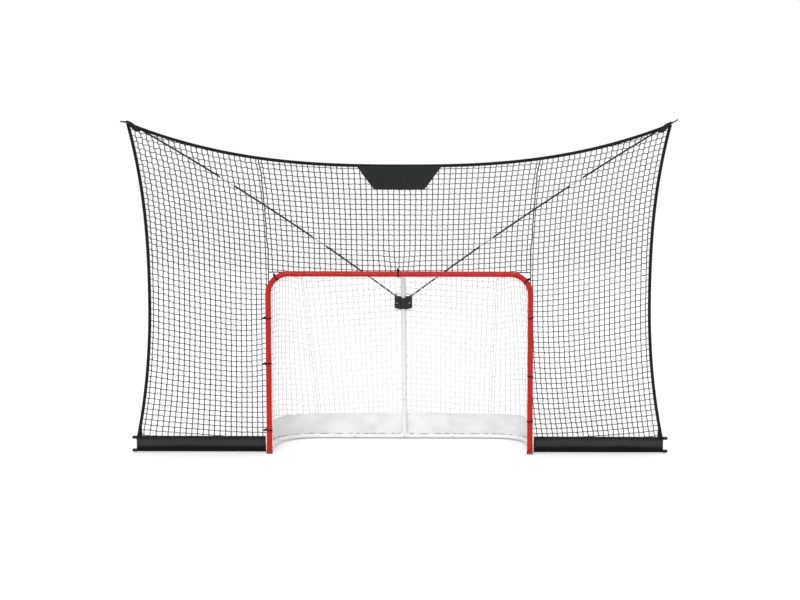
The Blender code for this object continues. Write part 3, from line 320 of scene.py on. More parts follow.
def cords(name, nodes, lines, radius, finish, roundness=1):
    """Cords along lines of (point, thickness as a share of the plain cord), as one mesh."""
    data = bpy.data.curves.new(name, "CURVE")
    data.dimensions = "3D"
    data.bevel_depth = radius
    data.bevel_resolution = roundness
    data.use_fill_caps = True
    for line in lines:
        spline = data.splines.new("POLY")
        spline.points.add(len(line) - 1)
        for point, (spot, share) in zip(spline.points, line):
            point.co = (*spot, 1.0)
            point.radius = share
    drawn = placed(name + "_drawn", data)
    bpy.context.view_layer.update()
    graph = bpy.context.evaluated_depsgraph_get()
    mesh = bpy.data.meshes.new_from_object(drawn.evaluated_get(graph))
    mesh.name = name
    bpy.data.objects.remove(drawn)
    mesh.shade_smooth()
    return piece(name, nodes, mesh, finish)


# Nets

def trimmed(points, inside):
    """Runs of a line of flat points that lie inside an outline, each cut at the outline."""
    runs, run = [], []
    for first, second in zip(points, points[1:]):
        starts, ends = inside(first), inside(second)
        if starts and not run:
            run = [first]
        if starts != ends:
            within, beyond = (first, second) if starts else (second, first)
            for _ in range(12):
                halfway = within.lerp(beyond, 0.5)
                within, beyond = (halfway, beyond) if inside(halfway) else (within, halfway)
            if starts:
                runs.append(run + [within])
                run = []
            else:
                run = [within, second]
        elif starts:
            run.append(second)
    return [line for line in (*runs, run) if len(line) > 1 and (line[-1] - line[0]).length > 0]


def square_strand(run, lift, knot, axis):
    """Black cord through a run of knots, nearly along its own axis between them, slanting at each knot."""
    line = []
    size = COLUMN_SIZE if axis else ROW_SIZE
    for first, second in zip(run, run[1:]):
        step = second - first
        ahead = Vector((0.0, step.y) if axis else (step.x, 0.0))
        offset = ahead * min(KNOT_SLANT / max(ahead.length, 0.0001), 0.2) + (step - ahead) * SQUARENESS / 2
        line += [(lift(first), knot), (lift(first + offset), size), (lift(second - offset), size)]
    return line + [(lift(run[-1]), size)]


def strand(run, lift, knot, axis):
    """White cord through a run of flat points, alike on both axes: thick at each knot, or plain where knot is 1."""
    line = []
    for first, second in zip(run, run[1:]):
        length = (lift(second) - lift(first)).length
        near = KNOT_HALF / max(length, KNOT_HALF)
        knotted = knot != 1.0 and length > KNOT_HALF * 3
        shares = ((0.0, knot), (near, 1.0), (0.5, 0.9), (1 - near, 1.0)) if knotted else ((0.0, knot), (0.5, 0.9))
        line += [(lift(first.lerp(second, share)), size) for share, size in shares]
    return line + [(lift(run[-1]), 1.0)]


def net_lines(knot_at, columns, rows, inside, lift, knot, draw):
    """All cords of a net whose knots are at knot_at(column, row) in the flat. The upright ones carry the knots."""
    lines = []
    for column in columns:
        points = [knot_at(column, row) for row in rows]
        lines += [draw(run, lift, knot, 1) for run in trimmed(points, inside)]
    for row in rows:
        points = [knot_at(column, row) for column in columns]
        lines += [draw(run, lift, 1.0, 0) for run in trimmed(points, inside)]
    return lines


def side_knot(side):
    """Knots of a side net: columns parallel to its edge, rows closer to each other near the floor."""
    def knot_at(column, row):
        pitch = settings().black_pitch
        x = POST_X + (column + 0.4) * pitch * SIDE_COLUMN_SHARE
        level = NET_FOOT_Z + SIDE_ROW_SHARE * pitch * (row + SIDE_ROW_GROWTH * row * row)
        rise = top_edge(x) - TOP_MIDDLE_Z
        bend = mix(0.25, 1.0, min(max(level / 1.25, 0.0), 1.0))
        z = level + rise * bend - 0.03
        across = (x - POST_X) / (WAIST_X - POST_X)
        if z < WAIST_Z:
            lean = side_edge(max(z, NET_FOOT_Z)) - WAIST_X
            lean *= 0.8 if side > 0 else max(across, 0.0) ** 2
        else:
            lean = 0.96 * (TOP_CORNER_X - WAIST_X) * ((z - WAIST_Z) / (TOP_CORNER_Z - WAIST_Z)) ** 2.8
        free = max(1 - across / 0.36, 0.0) ** 2 * exp(-((z - 0.70) / 0.42) ** 2)
        z += (0.026 if side > 0 else 0.055) * free
        return loosened(side * (x + lean), z, column + row)
    return knot_at


def centre_knot(column, row):
    """Knots of the middle net, with rows that follow its top edge."""
    pitch = settings().black_pitch
    x = column * pitch * CENTRE_COLUMN_SHARE
    z = CENTRE_FOOT_Z + 0.015 + row * pitch * CENTRE_ROW_SHARE + top_edge(x) - TOP_MIDDLE_Z
    lean = max(side_edge(min(z, TOP_CORNER_Z)) - WAIST_X, 0.0)
    return loosened(x + lean * x / POST_X, z, column + row)


def loosened(x, z, parity):
    """A knot moved off its even place: a jog to one side or the other, slack, and the pull of the middle tie."""
    sign = 1 if parity % 2 else -1
    x += sign * settings().black_jog_across
    z += sign * settings().black_jog_up
    x += 0.0022 * wander(x, z, 3.1, 0.11)
    z += 0.0030 * wander(x, z, 7.7, 0.16)
    reach_x, reach_z = MIDDLE_TIE_X - x, CROSSBAR_TOP - z
    pull = TIE_PULL * exp(-(hypot(reach_x, reach_z) / TIE_PULL_REACH) ** 2)
    return Vector((x + reach_x * pull, z + reach_z * pull))


def backstop_lift(spot):
    """Black net's point in space, a little slack to the back in the middle of each panel."""
    x, z = spot
    edge = max(side_edge(z) - abs(x), 0.0)
    foot = max(z - (NET_FOOT_Z if abs(x) > POST_X else CENTRE_FOOT_Z), 0.0)
    inward = abs(abs(x) - seam(z))
    room = min(edge, foot, inward, max(top_edge(x) - z, 0.0))
    slack = NET_SLACK * smooth_step(0.0, 0.35, room)
    return place(x, NET_DEPTH + slack * (1 + 0.4 * wander(x, z, 1.3, 0.4)), z)


def edge_cord(points, share, lift):
    """Border cord along flat points."""
    return [(lift(Vector(point)), share) for point in points]


def backstop_nets():
    """The three black nets with the seam cords between them."""
    values = settings()
    pitch, knot = values.black_pitch, values.black_knot
    finish = black_cord()

    def under_band(x, z):
        return z < top_edge(x) - BAND_MARGIN and abs(x) < side_edge(z) - BAND_MARGIN

    def beside(side):
        return lambda spot: (spot.y > NET_FOOT_Z - 0.004 and side * spot.x > seam(spot.y)
                             and under_band(spot.x, spot.y))

    def above(spot):
        return spot.y > CENTRE_FOOT_Z + 0.002 and abs(spot.x) < seam(spot.y) and under_band(spot.x, spot.y)

    def net(word, knot_at, columns, rows, inside, border, share):
        lines = net_lines(knot_at, columns, rows, inside, backstop_lift, knot, square_strand)
        lines.append(edge_cord(border, share, backstop_lift))
        cords(f"black_net_{word}", [f"backstop_net_{word}"], lines, values.black_cord / 2, finish)
    rows = range(-6, int(TOP_CORNER_Z / pitch) + 6)
    heights = [mix(NET_FOOT_Z - 0.004, top_edge(POST_X) - BAND_MARGIN, k / 90) for k in range(91)]
    for side, word in SIDES:
        net(word, side_knot(side), range(-4, int((TOP_CORNER_X - POST_X) / pitch) + 4), rows, beside(side),
            [(side * seam(z), z) for z in heights], 1.2)
    half = int(POST_X / pitch) + 2
    rows = range(-4, int((TOP_CORNER_Z - CENTRE_FOOT_Z) / pitch))
    net("centre", centre_knot, range(-half, half + 1), rows, above,
        [(mix(-POST_X, POST_X, k / 60), CENTRE_FOOT_Z + 0.002) for k in range(61)], 1.4)


def side_surface(side):
    """White side net's surface: from a post back round the corner of the base, up to the frame's bend."""
    def surface(u, v):
        x, depth = base_line(u * base_line_length(MESH_OUT), MESH_OUT)
        low = place(side * x, depth, MESH_FOOT_Z)
        x, z = head_line(u)
        high = place(side * x, MESH_DEPTH, z)
        spot = low.lerp(high, v)
        slack = MESH_SLACK * sin(pi * v) * sin(pi * u)
        spot.x += side * slack * (1 + 0.8 * wander(u * 2, v * 3, side, 1.0))
        return spot
    return surface


def back_surface(u, v):
    """White back net's surface, from the skirt up to the ridge behind the bar."""
    share = 2 * u - 1
    low = place(share * (POST_X - BASE_BEND_R), GOAL_DEPTH + MESH_OUT, MESH_FOOT_Z)
    high = ridge_point(share) + Vector((0, 0.0, -0.003))
    spot = low.lerp(high, v)
    spot.y += MESH_SLACK * sin(pi * v) * abs(sin(2 * pi * u)) * (1 + 0.8 * wander(u * 3, v * 3, 5.0, 1.0))
    return spot


def roof_surface(u, v):
    """White roof's surface from the crossbar back to the ridge; v is the depth as a share of the longest."""
    x = mix(-CREASE_TOP_X, CREASE_TOP_X, u)
    back = ridge_point(x / CREASE_TOP_X)
    run = v * (BAR_SHOULDER[0] + POST_R - MESH_DEPTH)
    share = run / max(back.y - FRONT_Y - MESH_DEPTH, 0.001)
    return place(x, MESH_DEPTH, ROOF_Z).lerp(back, share)


def within_roof(spot):
    """True for a flat point of the roof between the crossbar and the ridge."""
    u, v = spot
    if not 0 <= u <= 1 or v < 0:
        return False
    back = ridge_point(2 * u - 1)
    return v * (BAR_SHOULDER[0] + POST_R - MESH_DEPTH) <= back.y - FRONT_Y - MESH_DEPTH


def within_panel(spot):
    """True for a flat point of a side net."""
    return 0 <= spot.x <= 1 and 0 <= spot.y <= 1


def within_back(spot):
    """True for a flat point of the back net, which is open round the hub."""
    if not within_panel(spot):
        return False
    point = back_surface(*spot)
    return not (abs(point.x) < HOLE_X and HOLE_LOW < point.z < HOLE_HIGH)


def hub_hole():
    """Outline in the flat of the opening that the back net leaves round the hub."""
    corners = ((-HOLE_X, HOLE_LOW), (HOLE_X, HOLE_LOW), (HOLE_X, HOLE_HIGH), (-HOLE_X, HOLE_HIGH))
    outline = [flat_of_back(mix(x, next_x, k / 6), mix(z, next_z, k / 6))
               for (x, z), (next_x, next_z) in zip(corners, corners[1:] + corners[:1]) for k in range(6)]
    return outline + outline[:1]


def flat_of_back(x, z):
    """Flat point of the back net at an offset and height near the middle."""
    u, v = 0.5, 0.5
    for _ in range(12):
        spot = back_surface(u, v)
        wide = (POST_X - BASE_BEND_R) * (1 - v) + CREASE_TOP_X * v
        u += (x - spot.x) / (2 * wide)
        v += (z - spot.z) / (BAR_SHOULDER[1] - MESH_FOOT_Z)
    return u, v


def white_net(word, surface, columns, rows, inside, shift, borders, finish):
    """One white net. shift(u, v) moves a knot up as a share of the height."""
    values = settings()

    def knot_at(column, row):
        sign = 1 if (column + row) % 2 else -1
        u = (column + 0.5 + sign * values.white_jog) / columns
        v = (row + 0.5 - sign * values.white_jog) / rows
        return Vector((u, v + shift(u, v)))

    def lift(spot):
        return surface(min(max(spot.x, 0.0), 1.0), spot.y)
    lines = net_lines(knot_at, range(-1, columns + 2), range(-5, rows + 5), inside, lift, values.white_knot, strand)
    lines += [edge_cord(border, 1.0, lift) for border in borders]
    cords(f"white_net_{word}", [f"goal_net_{word}"], lines, values.white_cord / 2, finish)


def goal_nets():
    """The four white nets of the goal."""
    finish = twine("white_twine", settings().white_twine, 0.8, 0.2, 6.0, 0.94, 1.0)
    shares = [k / 40 for k in range(41)]
    low, high = [(s, 0) for s in shares], [(s, 1) for s in shares]
    upright = [[(end, s) for s in shares] for end in (0, 1)]
    pitch = settings().white_pitch
    height = CROSSBAR_Z - MESH_FOOT_Z
    rows = round(height / (pitch * ROW_STRETCH))
    for side, word in SIDES:
        white_net(word, side_surface(side), SIDE_COLUMNS, rows, within_panel, lambda u, v: -0.085 * u / height,
                  (*upright, low, high), finish)
    columns = round((POST_X - BASE_BEND_R + CREASE_TOP_X) / pitch) + 1
    white_net("back", back_surface, columns, rows - 1, within_back,
              lambda u, v: 0.045 * (1 - abs(2 * u - 1)) / height, (low, high, hub_hole()), finish)
    columns = round(2 * CREASE_TOP_X / pitch)
    white_net("roof", roof_surface, columns, ROOF_ROWS, within_roof, lambda u, v: 0.0, (low,), finish)


# Webbing and cloth

def folded(share, width, radius):
    """Distance in from the edge and depth, round a tape folded over an edge from front to back."""
    leg = width - radius
    arc = pi * radius
    run = share * (2 * leg + arc)
    if run < leg:
        inward, depth = width - run, -radius
    elif run < leg + arc:
        turn = (run - leg) / radius
        inward, depth = radius * (1 - sin(turn)), -radius * cos(turn)
    else:
        inward, depth = radius + run - leg - arc, radius
    return inward, depth * mix(1.0, 0.62, smooth_step(width * 0.6, width, inward))


def along_edge(spot, before, after, inward, depth, towards):
    """Point on a tape at an edge: inward from it, square to its run."""
    run = Vector((after[0] - before[0], after[1] - before[1])).normalized()
    square = Vector((-run.y, run.x))
    if square.dot(Vector(towards)) < 0:
        square.negate()
    x, z = Vector(spot) + square * inward
    ripple = 0.0006 * wander(x, z, 2.0, 0.07)
    return place(x, NET_DEPTH + depth + ripple, z)


def binding():
    """Woven tape folded over the backstop's edge and sewn, in one length on each side and one on top."""
    width = settings().band_width
    across = 2 * (width - BINDING_FOLD) + pi * BINDING_FOLD

    def tape(name, edge, columns, length):
        sheet(name, ["backstop_binding"], edge, (columns, 18), (length, across), TAPE_WALL, webbing())

    def top(u, v):
        x = mix(-TOP_CORNER_X, TOP_CORNER_X, u) * (1 - 0.8 * width / TOP_CORNER_X)
        before, spot, after = ((x + step, top_edge(x + step)) for step in (-EDGE_STEP, 0, EDGE_STEP))
        return along_edge(spot, before, after, *folded(v, width, BINDING_FOLD), (0, -1))
    tape("binding_top", top, 260, 3.83)
    for side, word in SIDES:
        def edge(u, v):
            z = mix(NET_FOOT_Z - 0.006, TOP_CORNER_Z - 0.016, u)
            inward, depth = folded(v, width + 0.014 * smooth_step(0.19, 0.12, z), BINDING_FOLD)
            before, spot, after = ((side * side_edge(z + step), z + step) for step in (-EDGE_STEP, 0, EDGE_STEP))
            return along_edge(spot, before, after, inward, depth * 0.92, (-side, 0))
        tape(f"binding_{word}", edge, 170, 2.19)


def corner_pockets():
    """Cloth pockets over the rods' tips: a flat front, a back raised over the rod's cap, and a tail of tape."""
    finish = cloth("pocket_cloth", settings().black_cloth, 0.0011)
    tip, within = rod_point(1, 1.0), rod_point(1, 0.93)
    along = Vector((within.x - tip.x, within.z - tip.z)).normalized()
    fall = (within.y - tip.y) / (within - tip).length
    across, down = 30, 24
    for side, word in SIDES:
        def flat_point(u, v):
            """u from the corner in along the rod, v from the top edge down."""
            run = mix(0.002, POCKET_REACH, u)
            upper = Vector((TOP_CORNER_X - run, top_edge(TOP_CORNER_X - run)))
            upper.y += 0.009 * smooth_step(0.0, 0.012, run) * smooth_step(0.072, 0.035, run)
            drop = min(run * 0.92, 0.034) + 0.012 * smooth_step(0.3, 0.9, u) - 0.012 * smooth_step(0.6, 1.0, u)
            lower = upper + Vector((0.003 * sin(pi * u), -drop))
            lower.x = min(lower.x, side_edge(lower.y))
            return upper.lerp(lower, v)

        def rise_over_rod(x, z):
            gap = Vector((x - tip.x, z - tip.z))
            ahead = gap.dot(along)
            aside = abs(gap.x * along.y - gap.y * along.x)
            depth = tip.y - FRONT_Y + max(ahead, 0) * fall
            crown = depth + sqrt(max(TIP_CAP_R ** 2 - min(aside, TIP_CAP_R) ** 2, 0.0)) - NET_DEPTH
            near = smooth_step(0.024, TIP_CAP_R * 0.8, aside) * smooth_step(-0.016, 0.0, ahead)
            return max(POCKET_RISE, crown * near)

        def face_at(front):
            def surface(u, v):
                x, z = flat_point(u, v)
                edge = smooth_step(0.0, 0.12, min(v, 1 - v))
                if front:
                    depth = 0.0005 * wander(x, z, 1, 0.03) - mix(POCKET_EDGE, POCKET_RISE, edge)
                else:
                    depth = mix(POCKET_EDGE, rise_over_rod(x, z), edge)
                return place(side * x, NET_DEPTH + depth, z)
            return surface
        for face in ("front", "back"):
            surface = face_at(face == "front")
            item = sheet(f"pocket_{word}_{face}", [f"corner_pocket_{word}"], surface, (across, down),
                         (POCKET_REACH * 1.1, 0.046), CLOTH_WALL, finish)
            for i in range(across):
                for j in range(down):
                    corner = surface(i / across, j / down)
                    beside, above = surface((i + 1) / across, j / down), surface(i / across, (j + 1) / down)
        lift = 0.022 if side > 0 else 0.001

        def tail(u, v):
            x = TOP_CORNER_X - 0.014 + 0.050 * u
            z = TOP_CORNER_Z - 0.007 + (lift + 0.004) * u ** 1.3 + (v - 0.5) * mix(0.012, 0.009, u)
            return place(side * x, NET_DEPTH + 0.0006 + 0.002 * sin(2.5 * u), z)
        sheet(f"pocket_tail_{word}", [f"corner_pocket_{word}"], tail, (20, 4), (0.052, 0.011),
              DOUBLED_TAPE_WALL, webbing())


def rod_caps(side, word, finish):
    """Rubber caps on the ends of the lower rods, with a profile of steps out and shares of the radius."""
    for level, z in zip(("low", "high"), LOW_ROD_Z):
        line = [(place(side * (PANEL_OUT_X + out), LOW_ROD_DEPTH, z), share) for out, share in CAP_PROFILE]
        cords(f"rod_cap_{word}_{level}", [], [line], CAP_R, finish, 6)


def foot_panels():
    """Cloth panels stretched round the lower rods, each with a tape along its top that carries the net."""
    pitch, steps = settings().black_pitch / 2, 12
    finish = panel_cloth()
    cap_finish = moulded_plastic("cap_black", shade(settings().hub_black, 0.45))
    low, high = LOW_ROD_Z
    leg = high - low
    length, around = PANEL_OUT_X - PANEL_IN_X, 2 * leg + 2 * pi * SLEEVE_R
    for side, word in SIDES:
        def envelope(u, v):
            """u along the panel, v round it from the bottom of the back."""
            x = mix(PANEL_IN_X, PANEL_OUT_X, u)
            run = v * around
            belly = 0.0
            if run < leg:
                z, depth = low + run, SLEEVE_R
                belly = -0.003 * sin(pi * run / leg)
            elif run < leg + pi * SLEEVE_R:
                turn = (run - leg) / SLEEVE_R
                z, depth = high + SLEEVE_R * sin(turn), SLEEVE_R * cos(turn)
            elif run < 2 * leg + pi * SLEEVE_R:
                down = run - leg - pi * SLEEVE_R
                z, depth = high - down, -SLEEVE_R
                belly = -0.006 * sin(pi * min(down / leg, 1)) ** 1.5
            else:
                turn = (run - 2 * leg - pi * SLEEVE_R) / SLEEVE_R
                z, depth = low - SLEEVE_R * sin(turn), -SLEEVE_R * cos(turn)
            free = smooth_step(low, low + 0.02, z) * smooth_step(high, high - 0.02, z)
            crease = 0.0022 * free * wander(x * 0.35, z * 1.2, side * 3 + (depth > 0), 0.035)
            end = smooth_step(0.0, 0.03, min(u, 1 - u))
            return place(side * x, LOW_ROD_DEPTH + depth + belly * end + crease, z)
        item = sheet(f"panel_{word}", [f"foot_panel_{word}"], envelope, (150, 44), (length, around), CLOTH_WALL,
                     finish, closed=True)
        rod_caps(side, word, cap_finish)

        def tape(u, v):
            x = mix(PANEL_IN_X - 0.004, PANEL_OUT_X + 0.002, u)
            turn = mix(-0.35, pi + 0.35, v)
            girth = SLEEVE_R + 0.0018 + 0.0004 * wander(x, 3 * v, side, 0.02)
            return place(side * x, LOW_ROD_DEPTH - girth * cos(turn), high + girth * sin(turn))
        sheet(f"panel_tape_{word}", [], tape, (120, 10), (length, 0.02), THIN_TAPE_WALL, webbing())
        lacing = []
        for k in range(int((length - 0.02) / pitch) * steps + 1):
            turn = 2 * pi * k / steps
            up = 0.5 - 0.5 * cos(turn)
            x = PANEL_IN_X + 0.008 + pitch * k / steps + 0.001 * wander(k / steps, 4.0, side, 1.0)
            reach = mix(0.0042, SLEEVE_R + 0.0022, up) * abs(sin(turn / 2 + 0.3))
            depth = mix(NET_DEPTH, LOW_ROD_DEPTH, up) - reach - 0.0008
            lacing.append((place(side * x, depth, mix(NET_FOOT_Z + 0.001, high - SLEEVE_R * 0.2, up)), 1.0))
        cords(f"panel_lacing_{word}", [], [lacing], 0.0011, black_cord())


def banner():
    """Plain cloth trapezoid that hangs from the top tape, hemmed on all sides."""
    flat = (2 * BANNER_HALF, BANNER_TOP - BANNER_FOOT + 0.01)

    def surface(u, v):
        half = mix(BANNER_HALF + 0.008, BANNER_FOOT_HALF, v)
        x = (2 * u - 1) * half
        z = mix(BANNER_TOP + 0.010, BANNER_FOOT, v)
        hem = 0.0009 * smooth_step(0.012, 0.008, min(half - abs(x), z - BANNER_FOOT))
        wave = 0.0016 * wander(x, z, 9.0, 0.12) * smooth_step(0.0, 0.2, v)
        return place(x, NET_DEPTH - 0.0032 - 0.0024 * smooth_step(0.0, 0.08, v) - hem + wave, z)
    item = sheet("banner_cloth", ["banner"], surface, (120, 36), flat, BANNER_WALL,
                 cloth("banner_cloth", settings().banner_cloth, 0.0012))


def skirt():
    """White cloth round the base from post to post, softly dented, hemmed at its top and foot."""
    half = base_line_length(MESH_OUT)
    back = 2 * (POST_X - BASE_BEND_R)
    length = 2 * half + back
    height = SKIRT_TOP - SKIRT_FOOT
    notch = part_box("centre_bar_lower")[1].x + 0.002
    notch_top = BASE_R * 2 + 0.005

    def surface(u, v):
        run = u * length
        z = mix(SKIRT_FOOT, SKIRT_TOP, v)
        free = smooth_step(0.050, 0.095, z)
        dent = 0.011 * wander(run, z * 1.6, 0.5, 0.16) + 0.006 * wander(run, z, 4.5, 0.055)
        dent += 0.004 * sin(run / 0.021 + 3 * wander(run, 0, 8.0, 0.2)) * smooth_step(0.4, 1.0, 1 - v)
        outward = MESH_OUT + dent * free * (1 - 0.75 * smooth_step(0.88, 1.0, v))
        outward += 0.0025 * abs(wander(run, z, 2.5, 0.045)) * (1 - free)
        if run < half:
            x, depth = base_line(run, outward)
            return place(-x, depth, z)
        if run > half + back:
            x, depth = base_line(length - run, outward)
            return place(x, depth, z)
        return place(run - half - back / 2, GOAL_DEPTH + outward, z)

    def keep(spot):
        return abs(spot.x) > notch or spot.z > notch_top or spot.y < FRONT_Y + GOAL_DEPTH - 0.1
    item = sheet("skirt_cloth", ["skirt"], surface, (430, 26), (length, height), SKIRT_WALL, skirt_cloth(),
                 keep=keep)


def tie(word, spot, along, tail_direction, length, turn=0.0):
    """Narrow tape tied round a tube, its end pointing off with a small knot at its root."""
    axis = Vector(along).normalized()
    out = Vector(tail_direction)
    out = (out - axis * out.dot(axis)).normalized()
    side = axis.cross(out)
    half = settings().tie_width / 2

    def strap(part, nodes, surface, mesh_size, reach, thickness):
        sheet(f"tie_{word}{part}", nodes, surface, mesh_size, (reach, 2 * half), thickness, webbing())

    def loop(u, v):
        angle = 2 * pi * 1.12 * u - 0.2
        radius = POST_R + 0.0011 + 0.0014 * u
        skew = 0.003 * sin(angle + turn)
        return spot + (out * cos(angle) + side * sin(angle)) * radius + axis * ((v - 0.5) * 2 * half + skew)
    strap("_loop", [f"strap_{word}"], loop, (40, 4), 2.2 * pi * POST_R, THIN_TAPE_WALL)

    def tail(u, v):
        reach = POST_R + 0.001 + length * u
        wide = mix(half * 1.9, half * 0.9, u ** 1.5)
        droop = -0.004 * u ** 2 + 0.002 * sin(5 * u + turn)
        fold = 0.0022 * sin(2 * pi * v + 3 * u)
        return spot + out * reach + axis * ((v - 0.5) * 2 * wide + droop) + side * fold
    strap("_tail", [], tail, (12, 8), length, FOLDED_TIE_WALL)
    knot = []
    for k in range(19):
        angle = 2 * pi * k / 18
        lobe = 1 + 0.25 * sin(2 * angle + turn)
        knot.append((spot + out * (POST_R + 0.0065 + 0.0035 * cos(angle)) + axis * (half * 0.75 * lobe * sin(angle))
                     + side * 0.0025 * cos(2 * angle), 1.0))
    cords(f"tie_{word}_knot", [], [knot], 0.0021, webbing())


def ties():
    """Ties on both posts, both upper bends and the middle of the crossbar."""
    for (side, word), heights in zip(SIDES, (LEFT_TIE_Z, RIGHT_TIE_Z)):
        towards, length = ((side, 0.25, 0), 0.024) if side < 0 else ((side, 1.6, 0), 0.008)
        for level, z in zip(("high", "middle", "low"), heights):
            tie(word + "_" + level, place(side * POST_X, 0, z), (0, 0, 1), towards, length, z * 9)
    for (side, word), angle in zip(SIDES, CORNER_TIE_ANGLES):
        turn = radians(angle)
        out = Vector((side * cos(turn), 0, sin(turn)))
        centre = place(side * (POST_X - CORNER_BEND_R), 0, CROSSBAR_Z - CORNER_BEND_R)
        tie(f"corner_{word}", centre + out * CORNER_BEND_R, (-side * sin(turn), 0, cos(turn)),
            out + Vector((0, 0.35, 0)), 0.018, angle)
    tie("crossbar", place(MIDDLE_TIE_X, 0, CROSSBAR_Z), (1, 0, 0), (0.0, 0.3, 1), 0.020, 1.0)


# Materials

def add(tree, kind, **options):
    """Node with options."""
    made = tree.nodes.new(kind)
    for name, value in options.items():
        setattr(made, name, value)
    return made


def feed(socket, value):
    """Links an input to a wire, or gives it a plain value."""
    if isinstance(value, Wire):
        socket.id_data.links.new(value.socket, socket)
    else:
        socket.default_value = value


class Wire:
    """An output of a node. Arithmetic and comparison with it add Math nodes.

    most(other) is the larger of two, and scaled(factor, start) is this value times a factor, from a start.
    """

    def __init__(self, socket):
        self.socket = socket

    def node(self, kind, values, output=0, **options):
        """Output of a new node in the same tree, with values for its inputs by place or name."""
        made = add(self.socket.id_data, kind, **options)
        for label, value in values.items():
            feed(made.inputs[label], value)
        return Wire(made.outputs[output])

    def math(self, operation, *others):
        """Result of a Math node that takes this wire first."""
        return self.node("ShaderNodeMath", dict(enumerate((self, *others))), operation=operation)

    __add__ = partialmethod(math, "ADD")
    __sub__ = partialmethod(math, "SUBTRACT")
    __mul__ = partialmethod(math, "MULTIPLY")
    __truediv__ = partialmethod(math, "DIVIDE")
    __gt__ = partialmethod(math, "GREATER_THAN")
    __lt__ = partialmethod(math, "LESS_THAN")
    __abs__ = partialmethod(math, "ABSOLUTE")
    most = partialmethod(math, "MAXIMUM")
    scaled = partialmethod(math, "MULTIPLY_ADD")
    sine = partialmethod(math, "SINE")
    fraction = partialmethod(math, "FRACT")

    def spread(self, low, high, out_low=0.0, out_high=1.0):
        """This value taken from one range to another, with smooth ends."""
        values = dict(enumerate((self, low, high, out_low, out_high)))
        return self.node("ShaderNodeMapRange", values, interpolation_type="SMOOTHSTEP")

    def blend(self, first, second):
        """Colour between two others, by this share."""
        return self.node("ShaderNodeMix", {0: self, 6: first, 7: second}, 2, data_type="RGBA")

    def split(self):
        """The three parts of a vector."""
        made = add(self.socket.id_data, "ShaderNodeSeparateXYZ")
        feed(made.inputs[0], self)
        return [Wire(part) for part in made.outputs]


def weave(spot, pitch):
    """Threads over and under each other, on a UV map in metres."""
    run, across, _ = spot.split()
    return ((run * pi / pitch).sine() * (across * pi / pitch).sine()).scaled(0.5, 0.5)


def ribs(spot, pitch):
    """Ribs across a woven tape, on a UV map in metres."""
    run, across, _ = spot.split()
    return abs((across * (pi / 2) / pitch).sine()).scaled(0.4, abs((run * pi / pitch).sine()))


def stitches(spot, offset, pitch):
    """Two rows of stitches at an offset from the middle of a UV map in metres."""
    run, across, _ = spot.split()
    return (abs(abs(across) - offset) < 0.0006) * ((run / pitch).fraction() < 0.68)


def dashes(spot, scale):
    """Uneven dashes along a UV map's first axis."""
    values = {"W": spot.split()[0], "Scale": scale, "Detail": 0.0}
    return spot.node("ShaderNodeTexNoise", values, noise_dimensions="1D").spread(0.36, 0.58)


def patches(spot, scale):
    """Soft uneven patches, 0 to 1."""
    return spot.node("ShaderNodeTexNoise", {"Vector": spot, "Scale": scale, "Detail": 4.0}).spread(0.3, 0.7)


def grain(spot, scale):
    """Fine grain of a moulded or sprayed skin."""
    return spot.node("ShaderNodeTexNoise", {"Vector": spot, "Scale": scale, "Detail": 2.0})


def cord_lay(spot, pitch):
    """Twisted strands of a cord, as slanting ridges."""
    x, y, z = spot.split()
    return (y.scaled(1.5, x + z) * (2 * pi) / pitch).sine().scaled(0.5, 0.5)


# Output and inputs of the node groups, each filled by a function
EFFECTS = {weave: ("Height", "Pitch"), ribs: ("Height", "Pitch"), stitches: ("Mask", "Offset", "Pitch"),
           dashes: ("Mask", "Scale"), patches: ("Mask", "Scale"), grain: ("Height", "Scale"),
           cord_lay: ("Height", "Pitch")}


def effect(fill, spot, *values):
    """Output of a node group, built once and placed here with its own values."""
    output, *labels = EFFECTS[fill]
    tree = bpy.data.node_groups.get(fill.__name__)
    if tree is None:
        tree = bpy.data.node_groups.new(fill.__name__, "ShaderNodeTree")
        tree.interface.new_socket(name="Vector", in_out="INPUT", socket_type="NodeSocketVector")
        for label in labels:
            tree.interface.new_socket(name=label, in_out="INPUT", socket_type="NodeSocketFloat")
        tree.interface.new_socket(name=output, in_out="OUTPUT", socket_type="NodeSocketFloat")
        start = add(tree, "NodeGroupInput")
        result = fill(*[Wire(start.outputs[label]) for label in ("Vector", *labels)])
        feed(add(tree, "NodeGroupOutput").inputs[output], result)
    return spot.node("ShaderNodeGroup", {"Vector": spot, **dict(zip(labels, values))}, output, node_tree=tree)


def shade(colour, share=1.0):
    """A colour made lighter or darker, with alpha."""
    return tuple(min(channel * share, 1.0) for channel in colour[:3]) + (1.0,)


